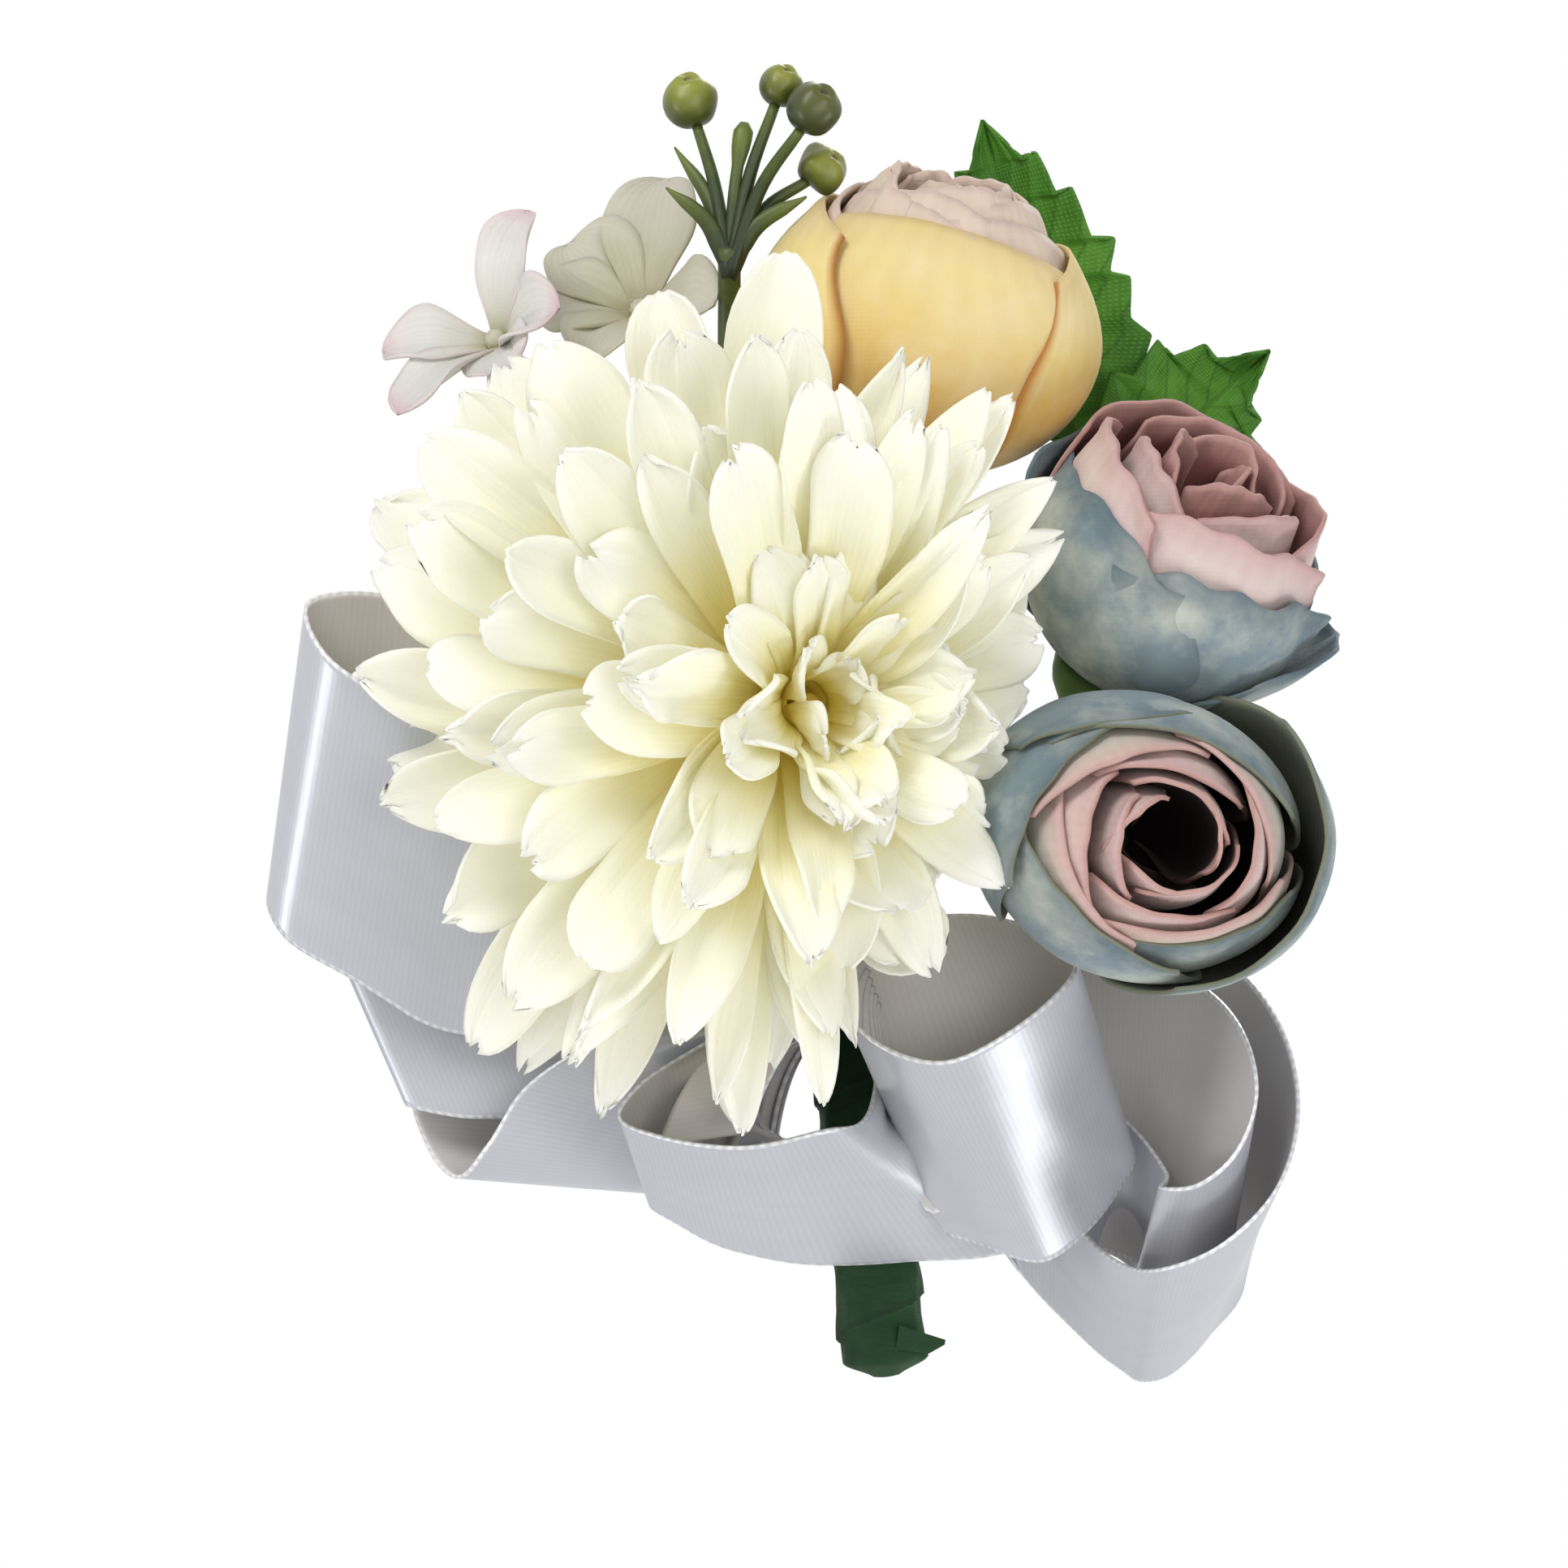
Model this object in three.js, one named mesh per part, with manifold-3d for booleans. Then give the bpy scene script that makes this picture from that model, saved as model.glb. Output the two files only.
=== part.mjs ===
// Corsage brooch: fabric flowers, berries, leaves and a satin bow wired to one taped stem,
// with a locking bar pin behind it. Millimetres, +Z up, the front faces -Y.
// The origin is the centre of the pin bar's rear face, the face that lies on the garment.
import * as THREE from "three";
import { mergeVertices } from "three/addons/utils/BufferGeometryUtils.js";
import Module from "manifold-3d";

const wasm = await Module();
wasm.setup();

// Clearances
const SEAT_GAP = 0.3;
const PIVOT_GAP = 0.15;

// Locking bar pin
const BAR_LENGTH = 32;
const BAR_WIDTH = 5;
const BAR_THICK = 0.8;
const BAR_LAND_LENGTH = 12;
const BAR_LAND_RISE = 0.15;
const BAR_HOLE_RADIUS = 0.9;
const BAR_HOLE_SPACING = 17;
const EAR_THICK = 0.7;
const EAR_RADIUS = 1.5;
const HINGE_INSET = 2.2;
const RIVET_RADIUS = 0.45;
const RIVET_HEAD_RADIUS = 0.85;
const RIVET_HEAD_HEIGHT = 0.35;
const NEEDLE_RADIUS = 0.42;
const NEEDLE_HEIGHT = 3.2;
const NEEDLE_OVERRUN = 1.2;
const NEEDLE_POINT = 3.2;
const EYE_RADIUS = 1.35;
const EYE_WIDTH = 1.5;
const CATCH_LENGTH = 3.2;
const CATCH_INSET = 1.2;
const CATCH_OUTER_RADIUS = 2.5;
const CATCH_WALL = 0.55;
const CATCH_MOUTH_DEG = 140;
const CATCH_FOOT_WIDTH = 2.2;
const LOCK_INNER_RADIUS = 0.95;
const LOCK_SLOT_DEG = 76;
const LOCK_LEVER_DEG = 40;
const LOCK_LEVER_REACH = 3.9;
const LOCK_LEVER_THICK = 0.8;

// Taped stem with seven wires in it, one in the middle and six round it
const STEM_RADIUS = 3.75;
const STEM_WALL = 0.6;
const STEM_TOP = 12;
const STEM_BOTTOM = 27;
const STEM_LEAN_DEG = 5.5;
const STEM_TIP_ROUND = 1.6;
const TAPE_TURN = 6.5;
const TAPE_LIP = 0.15;
const WIRE_RADIUS = 0.8;
const WIRE_PITCH = 1.95;
const WIRE_FLOOR = 2.2;
const WIRE_EXIT = 2;

// Die-cut petal layers
const PETAL_ROOT_SHARE = 0.1;
const PETAL_TIP_SHARE = 0.76;
const PETAL_FILL_POWER = 1.35;

// Chrysanthemum
const MUM_PLACE = [-8.8, -20, 29];
const MUM_AXIS = [-0.1, -0.99, -0.07];
const MUM_PETAL_THICK = 0.45;
const MUM_DISC_RADIUS = 7;
const MUM_LAYER_PITCH = 1.6;
const MUM_LAYER_TURN_DEG = 6;
const MUM_SPINDLE_RADIUS = 0.8;
const MUM_SPINDLE_SLACK = 0.9;
const MUM_SPINDLE_HEAD = 3;
const MUM_CALYX_RADIUS = 5;
const MUM_CALYX_HEIGHT = 5.5;
const MUM_TALL = 0.12;
const MUM_LEFT = 0.07;
const MUM_UNEVEN = [
  { atDeg: -34, longer: -0.29, spreadDeg: 32 },
  { atDeg: -76, longer: -0.26, spreadDeg: 17 },
  { atDeg: 54, longer: 0.1, spreadDeg: 24 },
];
// Each layer: petals, their length, width and cup, the slope at root and tip from the axis,
// and its step to the right of the layer behind it
const MUM_LAYERS = [
  { petals: 13, length: 31.5, width: 8.6, cup: 0.9, root: 64, tip: 87, slide: 0 },
  { petals: 12, length: 31.0, width: 8.8, cup: 0.9, root: 54, tip: 76, slide: 1.2 },
  { petals: 11, length: 29.0, width: 8.4, cup: 0.9, root: 44, tip: 65, slide: 1.1 },
  { petals: 9, length: 26.5, width: 8.0, cup: 0.9, root: 34, tip: 53, slide: 0.6 },
  { petals: 7, length: 23.0, width: 7.0, cup: 0.9, root: 23, tip: 40, slide: 0.2 },
  { petals: 5, length: 18.0, width: 5.2, cup: 0.7, root: 10, tip: 25, slide: 0 },
];

// Rose buds: the petals lie on nested ellipsoids
const BUD_PETAL_THICK = 0.4;
const BUD_RING_PITCH = 2.8;
const BUD_RING_LIFT = 0.8;
const BUD_ROOT_DEG = -76;
const BUD_RIM_DROP_DEG = 14;
const BUD_SLIDE = 0.65;
const BUD_FOOT_SHARE = 0.3;
const BUD_FILL_RATE = 1.2;
const CALYX_HEIGHT = 4.5;
const CALYX_NECK_WALL = 1;
const CALYX_SHOULDER_SHARE = 0.8;
const CALYX_SHOULDER_DROP = 0.45;
const CALYX_RADIUS = 4.2;
const SOCKET_DEPTH = 3.2;
const SOCKET_LEAD = 1.5;
const ROSES = [
  {
    name: "yellow_rose", place: [5.7, -14.8, 60.3], axis: [0.22, -0.14, 0.965],
    wide: 14, deep: 10.8, half: 12.4, rimsDeg: [44, 46, 50, 56], outsideRings: 2,
    outside: "#f0c566", inside: "#e6c9c2",
  },
  {
    name: "upper_blue_rose", place: [25.9, -17.6, 41], axis: [0.43, -0.43, 0.79],
    wide: 12.8, deep: 12.8, half: 12, rimsDeg: [22, 35, 39, 42], outsideRings: 1,
    outside: "#8ea2a8", inside: "#dcb9bc",
  },
  {
    name: "lower_blue_rose", place: [23.6, -27, 17.8], axis: [0.2, -0.97, -0.03],
    wide: 14.2, deep: 11.8, half: 12.2, rimsDeg: [40, 42, 46, 52], outsideRings: 2,
    outside: "#8ea2a8", inside: "#dcb9bc",
  },
];
const BUD_RINGS = [
  { part: "outer_petals", petals: 4, spreadDeg: 62, turnDeg: 20 },
  { part: "middle_petals", petals: 4, spreadDeg: 58, turnDeg: 65 },
  { part: "inner_petals", petals: 3, spreadDeg: 72, turnDeg: 10 },
  { part: "heart", petals: 3, spreadDeg: 70, turnDeg: 70 },
];

// Leaflets
const LEAF_THICK = 0.5;
const LEAF_TOOTH = 1.1;
const LEAF_FOLD = 0.9;
const LEAF_SEAT = 1.2;
const LEAF_BASE_SHARE = 0.1;
const LEAF_TIP_SHARE = 0.88;
const LEAF_FILL_POWER = 0.75;
const LEAF_TOOTH_LEAN = 0.35;
const LEAVES = [
  { name: "upper_leaf", base: [18.6, -1.4, 49.5], tip: [10.6, -3.4, 77.4], half: 7.4, teeth: 9 },
  { name: "lower_leaf", base: [20.8, -3.4, 46.2], tip: [34.4, -5.4, 58.2], half: 7.2, teeth: 7 },
];

// Berry spray
const BERRY_BRANCH_RADIUS = 0.55;
const BERRY_JOIN = [-10.4, -17, 66.5];
const BERRIES = [
  { name: "berry_left", place: [-13.6, -14.5, 78.6], radius: 2.3 },
  { name: "berry_top", place: [-6.1, -16, 79.8], radius: 1.8 },
  { name: "berry_right", place: [-3.4, -19.3, 77.8], radius: 2.25 },
  { name: "berry_low", place: [-2.7, -15.4, 73], radius: 1.75 },
];
const BRACT_TIP_SHARE = 0.2;
const BRACT_TIPS = [[-9.1, -15.2, 76.8], [-14.9, -14, 74.8], [-15.6, -16, 71.4], [-4, -17.5, 70.6]];

// Blossoms
const BLOSSOM_SHAPE = { petals: 5, cup: 0.8, root: 62, tip: 80, turn: 0 };
const BLOSSOM_LEAD = 4;
const BLOSSOM_PETAL_THICK = 0.45;
const BLOSSOM_EYE_RADIUS = 0.9;
const BLOSSOM_DISC_RADIUS = 2.6;
const BLOSSOM_HOLE_RADIUS = 0.5;
const BLOSSOMS = [
  { name: "outer_blossom", place: [-29.4, -16, 58.6], axis: [-0.45, -0.5, 0.5], length: 10.4, width: 6.6 },
  { name: "inner_blossom", place: [-17.6, -10, 61.2], axis: [-0.25, -0.55, 0.6], length: 8.6, width: 6.8 },
];

// Ribbon: each loop is its rim, the edge that shows, how the cloth runs from there as a share of its width,
// and the run over which it opens out from the knot
const RIBBON_WIDTH = 25;
const RIBBON_THICK = 0.4;
const RIBBON_PINCHED = 4.5;
const RIBBON_STEPS = 26;
const KNOT_RADIUS = 3.2;
const KNOT_HEIGHT = 10;
const KNOT_WAIST = 0.7;
const KNOT_END_SHARE = 0.8;
const KNOT_Z = 8.5;
const LOOPS = [
  {
    name: "ribbon_loop_right_front", pinch: 16,
    rim: [[3, -13.6, 10], [6, -14.5, 11.4], [11.4, -15.2, 11.4], [16.6, -17.2, 9.6], [18, -22, 7.2],
      [13.4, -26.5, 2.6], [7, -28, -0.4], [1.6, -26.5, 1.2], [-1.6, -22, 5.4], [0.6, -17.6, 8]],
    across: [[0.2, 0, -0.95], [0.36, 0, -0.8], [0.2, 0.3, -0.66], [0.28, 0.5, -0.66], [0.4, 0.4, -0.7],
      [0.3, 0.2, -0.9]],
  },
  {
    name: "ribbon_loop_right_middle", pinch: 26,
    rim: [[3.2, -11.4, 8.4], [12, -8.2, 8.2], [21, -8.8, 8], [28, -13.5, 6], [32, -21, 1.5],
      [32.8, -24.5, -3.5], [31, -26, -8], [28, -26, -10.5], [25.2, -23.6, -10.8], [25.6, -15.4, -9.6],
      [22, -10.2, -5.2], [12, -10.6, 1], [3.2, -12, 4.6]],
    across: [[0, 0, -1], [0, 0.05, -0.98], [-0.15, 0.3, -0.92], [-0.05, 0.64, -0.42], [-0.08, 0.46, -0.36],
      [0, 0.04, -0.55], [0, 0, -0.8]],
  },
  {
    name: "ribbon_loop_right_back", pinch: 26,
    rim: [[3.2, -9.8, 9.6], [12, -4.2, 9.8], [24, -4.6, 9.8], [31, -9, 7.5], [35.4, -15, 1.5],
      [36.4, -18.5, -5], [34.5, -22, -11], [30, -23.5, -15.5], [25.6, -22, -17.4], [21.4, -14.4, -17],
      [16.6, -7.6, -12], [10.4, -6, -4], [4.6, -9.6, 2.6], [3.2, -10.2, 4.8]],
    across: [[0, 0, -1], [0, 0.05, -0.95], [-0.08, 0.35, -0.9], [-0.24, 0.72, -0.56], [-0.02, 0.62, -0.36],
      [0, 0.12, -0.4], [0, 0, -0.5]],
  },
  {
    name: "ribbon_front_swag", pinch: 12,
    rim: [[0.8, -15.8, 3], [1.2, -18.4, -3], [0.4, -22.6, -5.4], [-2.4, -26.4, -6], [-9, -27, -7.4],
      [-16, -24, -6.6], [-19.4, -21, -5], [-17.5, -18.8, -2.2], [-11, -17.2, 1.6], [-5.4, -15.4, 5]],
    across: [[0.7, 0.1, -0.55], [0.54, 0.42, -0.46], [0.25, 0.68, -0.44], [0.1, 0.62, -0.36],
      [0.1, 0.3, -0.3], [0.1, 0.12, -0.5], [0, 0.05, -0.6]],
  },
  {
    name: "ribbon_strip", pinch: 8, width: 7.6, tail: true,
    rim: [[-3.6, -17, 6.4], [-4.6, -18.8, 3.4], [-6, -20.4, 0], [-7.6, -21, -3.4], [-8.8, -20.8, -6.4]],
    across: [[-0.3, 0, -0.9], [-0.9, 0.05, -0.3], [-0.98, 0.05, -0.15]],
  },
  {
    name: "ribbon_loop_left_upper", pinch: 34,
    rim: [[-4.7, -11.8, 11.4], [-16, -12, 22], [-29, -13.5, 34], [-39, -15.5, 38], [-45, -18.5, 37.2],
      [-43.5, -22, 33], [-37, -22.5, 28.5], [-26, -19.5, 20.5], [-14, -16, 13.5], [-4.8, -13.6, 10.4]],
    across: [[0.1, 0, -1], [0.1, 0.05, -0.98], [-0.13, 0.3, -0.94], [-0.13, 0.4, -0.9], [0, 0, -1]],
  },
  {
    name: "ribbon_loop_left_middle", pinch: 30,
    rim: [[-3.6, -9.4, 10.8], [-18, -5.4, 16], [-32, -3.8, 20], [-43, -3.8, 20.5], [-47.4, -5.4, 18.6],
      [-43, -7, 17.5], [-33, -7.4, 17.6], [-20, -8.2, 14.5], [-4.6, -10.6, 10]],
    across: [[0.1, 0, -1], [0.25, 0, -0.96], [0.4, 0, -0.91], [0.3, 0, -0.95], [0, 0, -1]],
  },
  {
    name: "ribbon_loop_left_low", pinch: 16,
    rim: [[-3.5, -10.4, 5], [-16, -3.4, 0.5], [-28, -1.9, 0], [-36.6, -1.5, -3], [-35.5, -3.5, -8],
      [-33, -7, -10.3], [-30.4, -11, -7.5], [-27, -13, -2.5], [-19, -13.4, 2], [-4.1, -12.6, 4.6]],
    across: [[0.1, 0, -0.8], [0.5, -0.02, -0.35], [0.97, -0.02, -0.06], [0.8, 0, -0.3], [0, 0, -0.8]],
  },
];

// Where each wire goes after it leaves the stem
const WIRE_STEPS = 16;
const MUM_WIRE = { slot: 6, via: [[-5, -11, 18]] };
const ROSE_WIRES = {
  yellow_rose: { slot: 0, via: [[0.2, -6, 28]] },
  upper_blue_rose: { slot: 2, via: [[6.6, -5.2, 22]] },
  lower_blue_rose: { slot: 1, via: [[6.4, -8, 16]] },
};
const LEAF_WIRE = { slot: 3, via: [[1.6, -1.8, 26], [9.6, -1.8, 40]] };
const BERRY_WIRE = { slot: 4, via: [[-5.5, -3.2, 28], [-10, -9.4, 50]] };
const BLOSSOM_WIRE = { slot: 5, via: [[-8, -6.5, 26], [-17, -9, 44]] };

// Closed solid from one set of faces seen on two sides; a wall closes every open edge
function shell(front, back, faces) {
  const count = front.length;
  const triangles = [];
  const open = new Map();
  faces.forEach((face) => {
    for (let k = 2; k < face.length; k += 1) {
      const [a, b, c] = [face[0], face[k - 1], face[k]];
      triangles.push(a, b, c, count + a, count + c, count + b);
    }
    face.forEach((a, k) => {
      const b = face[(k + 1) % face.length];
      if (!open.delete(`${b},${a}`)) open.set(`${a},${b}`, [a, b]);
    });
  });
  open.forEach(([a, b]) => triangles.push(b, a, count + a, b, count + a, count + b));
  const points = [...front, ...back].flatMap((point) => point.toArray());
  const geometry = new THREE.BufferGeometry();
  geometry.setAttribute("position", new THREE.Float32BufferAttribute(points, 3));
  geometry.setIndex(triangles);
  return geometry;
}

// Curved sheet with a thickness: surface(u, v) with u from 0 to 1 and v from -1 to 1
function sheetSolid(rows, columns, thickness, surface) {
  const step = 1e-3;
  const front = [];
  const back = [];
  const faces = [];
  const width = columns + 1;
  for (let i = 0; i <= rows; i += 1) {
    for (let j = 0; j <= columns; j += 1) {
      const u = i / rows;
      const v = (2 * j) / columns - 1;
      const along = surface(u + step, v).sub(surface(u - step, v));
      const across = surface(u, v + step).sub(surface(u, v - step));
      const normal = along.cross(across).normalize().multiplyScalar(thickness / 2);
      const middle = surface(u, v);
      front.push(middle.clone().add(normal));
      back.push(middle.clone().sub(normal));
      const a = i * width + j;
      if (i < rows && j < columns) faces.push([a, a + width, a + width + 1, a + 1]);
    }
  }
  return shell(front, back, faces);
}

// Petals that grow from one uncut middle, in one piece. The callbacks take an offset to either face:
// petalPoint(petal, u, v, offset), and middlePoint(petal, v, offset) for a holed or closed middle
function petalCrown({ petals, rows, columns, thickness, holed, petalPoint, middlePoint }) {
  const front = [];
  const back = [];
  const faces = [];
  const add = (pointAt) => {
    front.push(pointAt(thickness / 2));
    back.push(pointAt(-thickness / 2));
    return front.length - 1;
  };
  const centre = holed ? null : add((offset) => middlePoint(0, 0, offset));
  const ring = [];
  for (let k = 0; k < petals; k += 1) {
    const grid = [];
    for (let i = 0; i <= rows; i += 1) {
      grid.push([]);
      for (let j = 0; j <= columns; j += 1) {
        const v = (2 * j) / columns - 1;
        grid[i].push(add((offset) => petalPoint(k, i / rows, v, offset)));
        if (i === 0) {
          const inner = holed ? add((offset) => middlePoint(k, v, offset)) : centre;
          ring.push({ inner, outer: grid[i][j] });
        }
        if (i > 0 && j > 0) faces.push([grid[i - 1][j - 1], grid[i][j - 1], grid[i][j], grid[i - 1][j]]);
      }
    }
  }
  ring.forEach((at, k) => {
    const next = ring[(k + 1) % ring.length];
    faces.push(holed ? [at.inner, at.outer, next.outer, next.inner] : [centre, at.outer, next.outer]);
  });
  return shell(front, back, faces);
}

function solidOf(geometry) {
  const bare = geometry.clone();
  bare.deleteAttribute("normal");
  bare.deleteAttribute("uv");
  const merged = mergeVertices(bare, 1e-4);
  return new wasm.Manifold(new wasm.Mesh({
    numProp: 3,
    vertProperties: new Float32Array(merged.attributes.position.array),
    triVerts: new Uint32Array(merged.index.array),
  }));
}

function geometryOf(solid) {
  const mesh = solid.getMesh();
  const geometry = new THREE.BufferGeometry();
  geometry.setAttribute("position", new THREE.Float32BufferAttribute(mesh.vertProperties, 3));
  geometry.setIndex(Array.from(mesh.triVerts));
  return geometry;
}

function fuse(geometries) {
  return geometryOf(geometries.map(solidOf).reduce((sum, solid) => sum.add(solid)));
}

function cut(geometry, tools) {
  return geometryOf(tools.map(solidOf).reduce((rest, tool) => rest.subtract(tool), solidOf(geometry)));
}

const vector = (list) => new THREE.Vector3(...list);
const radians = THREE.MathUtils.degToRad;
const root = new THREE.Group();

function addPart(parent, name, geometry, colour, roughness, metalness = 0) {
  const material = new THREE.MeshStandardMaterial({ color: colour, roughness, metalness });
  const mesh = new THREE.Mesh(geometry, material);
  mesh.name = name;
  parent.add(mesh);
  return mesh;
}

// Group whose +Z looks along an axis
function facing(place, axis) {
  const group = new THREE.Group();
  group.position.copy(vector(place));
  group.quaternion.setFromUnitVectors(new THREE.Vector3(0, 0, 1), vector(axis).normalize());
  return group;
}

function lathe(points, segments) {
  const profile = points.map(([x, y]) => new THREE.Vector2(x, y));
  return new THREE.LatheGeometry(profile, segments).rotateX(Math.PI / 2);
}

function ringSection(radius, sides) {
  const shape = new THREE.Shape();
  for (let k = 0; k < sides; k += 1) {
    const angle = (2 * Math.PI * k) / sides;
    const point = [radius * Math.cos(angle), radius * Math.sin(angle)];
    if (k === 0) shape.moveTo(...point);
    else shape.lineTo(...point);
  }
  shape.closePath();
  return shape;
}

function tube(points, radius, steps, sides = 6) {
  const path = new THREE.CatmullRomCurve3(points, false, "centripetal");
  const section = ringSection(radius, sides);
  return new THREE.ExtrudeGeometry(section, { extrudePath: path, steps, curveSegments: 1 });
}

// Locking bar pin, in a frame whose Z runs along the bar and whose +Y looks at the garment
const STEEL = "#b9bcc0";
const pinBack = new THREE.Group();
pinBack.rotation.y = -radians(STEM_LEAN_DEG);
root.add(pinBack);

const HINGE_Z = BAR_LENGTH / 2 - HINGE_INSET;
const CATCH_TOP = -BAR_LENGTH / 2 + CATCH_INSET + CATCH_LENGTH;
const NEEDLE_LENGTH = HINGE_Z - CATCH_TOP + CATCH_LENGTH + NEEDLE_OVERRUN;
const EAR_INNER = EYE_WIDTH / 2 + SEAT_GAP;

function plateAlongBar(length, rearFace) {
  const half = BAR_WIDTH / 2;
  const shape = new THREE.Shape();
  const straight = length / 2 - half;
  shape.absarc(0, straight, half, 0, Math.PI, false);
  shape.absarc(0, -straight, half, Math.PI, 2 * Math.PI, false);
  const depth = BAR_THICK + rearFace;
  const plate = new THREE.ExtrudeGeometry(shape, { depth, bevelEnabled: false, curveSegments: 6 });
  return plate.rotateX(Math.PI / 2).translate(0, rearFace, 0);
}

function hingeEar(side) {
  const shape = new THREE.Shape();
  shape.moveTo(-EAR_RADIUS, -BAR_THICK);
  shape.lineTo(EAR_RADIUS, -BAR_THICK);
  shape.absarc(0, NEEDLE_HEIGHT, EAR_RADIUS, 0, Math.PI, false);
  const hole = new THREE.Path();
  hole.absarc(0, NEEDLE_HEIGHT, RIVET_RADIUS + PIVOT_GAP, 0, 2 * Math.PI, true);
  shape.holes.push(hole);
  const ear = new THREE.ExtrudeGeometry(shape, { depth: EAR_THICK, bevelEnabled: false, curveSegments: 5 });
  // Shape x runs along the bar and the thickness runs across it
  ear.rotateY(Math.PI / 2);
  const inner = side > 0 ? EAR_INNER : -EAR_INNER - EAR_THICK;
  return ear.translate(inner, 0, HINGE_Z);
}

function pinBar() {
  const land = new THREE.BoxGeometry(BAR_WIDTH, BAR_THICK, BAR_LAND_LENGTH).translate(0, -BAR_THICK / 2, 0);
  const bar = fuse([plateAlongBar(BAR_LENGTH, -BAR_LAND_RISE), land, hingeEar(1), hingeEar(-1)]);
  const holes = [1, -1].map((end) => {
    const hole = new THREE.CylinderGeometry(BAR_HOLE_RADIUS, BAR_HOLE_RADIUS, 4 * BAR_THICK, 10);
    return hole.translate(0, 0, (end * BAR_HOLE_SPACING) / 2);
  });
  return cut(bar, holes);
}

function hingeRivet() {
  const half = EAR_INNER + EAR_THICK + SEAT_GAP / 2;
  const end = half + RIVET_HEAD_HEIGHT;
  const profile = [[0, -end], [RIVET_HEAD_RADIUS, -end], [RIVET_HEAD_RADIUS, -half], [RIVET_RADIUS, -half],
    [RIVET_RADIUS, half], [RIVET_HEAD_RADIUS, half], [RIVET_HEAD_RADIUS, end], [0, end]];
  return lathe(profile, 12).rotateY(Math.PI / 2).translate(0, NEEDLE_HEIGHT, HINGE_Z);
}

function pinNeedle() {
  const hole = RIVET_RADIUS + PIVOT_GAP;
  const half = EYE_WIDTH / 2;
  const ring = [[hole, -half], [EYE_RADIUS, -half], [EYE_RADIUS, half], [hole, half], [hole, -half]];
  const eye = lathe(ring, 14);
  const shaftTop = -(hole + EYE_RADIUS) / 2;
  const shaft = lathe([[0, -NEEDLE_LENGTH], [NEEDLE_RADIUS, NEEDLE_POINT - NEEDLE_LENGTH],
    [NEEDLE_RADIUS, shaftTop], [0, shaftTop]], 10);
  return fuse([eye.rotateY(Math.PI / 2), shaft]).translate(0, NEEDLE_HEIGHT, HINGE_Z);
}

// Part of a ring between two radii, from one angle to another, CATCH_LENGTH long
function ringSector(inner, outer, fromDeg, toDeg) {
  const shape = new THREE.Shape();
  shape.absarc(0, 0, outer, radians(fromDeg), radians(toDeg), false);
  shape.absarc(0, 0, inner, radians(toDeg), radians(fromDeg), true);
  shape.closePath();
  return new THREE.ExtrudeGeometry(shape, { depth: CATCH_LENGTH, bevelEnabled: false, curveSegments: 12 });
}

const CATCH_INNER_RADIUS = CATCH_OUTER_RADIUS - CATCH_WALL;

function catchHousing() {
  const mouth = CATCH_MOUTH_DEG / 2;
  const hook = ringSector(CATCH_INNER_RADIUS, CATCH_OUTER_RADIUS, 90 + mouth, 450 - mouth);
  const footBase = -NEEDLE_HEIGHT - BAR_LAND_RISE + SEAT_GAP;
  const footTop = -CATCH_INNER_RADIUS - CATCH_WALL / 2;
  const foot = new THREE.BoxGeometry(CATCH_FOOT_WIDTH, footTop - footBase, CATCH_LENGTH);
  foot.translate(0, (footTop + footBase) / 2, CATCH_LENGTH / 2);
  return fuse([hook, foot]).translate(0, NEEDLE_HEIGHT, CATCH_TOP - CATCH_LENGTH);
}

function catchLock() {
  const outer = CATCH_INNER_RADIUS - SEAT_GAP;
  const slot = LOCK_SLOT_DEG / 2;
  const barrel = ringSector(LOCK_INNER_RADIUS, outer, 90 + slot, 450 - slot);
  const leverRoot = (LOCK_INNER_RADIUS + outer) / 2;
  const lever = new THREE.BoxGeometry(LOCK_LEVER_REACH - leverRoot, LOCK_LEVER_THICK, CATCH_LENGTH);
  lever.translate((LOCK_LEVER_REACH + leverRoot) / 2, 0, CATCH_LENGTH / 2).rotateZ(radians(LOCK_LEVER_DEG));
  return fuse([barrel, lever]).translate(0, NEEDLE_HEIGHT, CATCH_TOP - CATCH_LENGTH);
}

addPart(pinBack, "pin_bar", pinBar(), STEEL, 0.35, 1);
addPart(pinBack, "hinge_rivet", hingeRivet(), STEEL, 0.3, 1);
addPart(pinBack, "pin_needle", pinNeedle(), STEEL, 0.25, 1);
addPart(pinBack, "catch_housing", catchHousing(), STEEL, 0.35, 1);
addPart(pinBack, "catch_lock", catchLock(), STEEL, 0.3, 1);

// Taped stem, leaning with the pin
const TAPE_GREEN = "#24492a";
const stemGroup = new THREE.Group();
stemGroup.position.y = -(BAR_THICK + SEAT_GAP + STEM_RADIUS);
stemGroup.rotation.y = -radians(STEM_LEAN_DEG);
stemGroup.updateMatrix();
root.add(stemGroup);

function stemWrap() {
  const inner = STEM_RADIUS - STEM_WALL;
  const floor = -STEM_BOTTOM + WIRE_FLOOR - SEAT_GAP;
  const profile = [[0, -STEM_BOTTOM], [STEM_RADIUS - STEM_TIP_ROUND, -STEM_BOTTOM],
    [STEM_RADIUS - TAPE_LIP, -STEM_BOTTOM + STEM_TIP_ROUND]];
  const turns = Math.round((STEM_TOP + STEM_BOTTOM) / TAPE_TURN);
  const rise = (STEM_TOP + STEM_BOTTOM - STEM_TIP_ROUND) / turns;
  for (let k = 1; k <= turns; k += 1) {
    const edge = -STEM_BOTTOM + STEM_TIP_ROUND + rise * k;
    profile.push([STEM_RADIUS, edge - TAPE_LIP], [STEM_RADIUS - TAPE_LIP, edge]);
  }
  profile.push([inner, STEM_TOP], [inner, floor], [0, floor]);
  return lathe(profile, 12);
}

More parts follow.
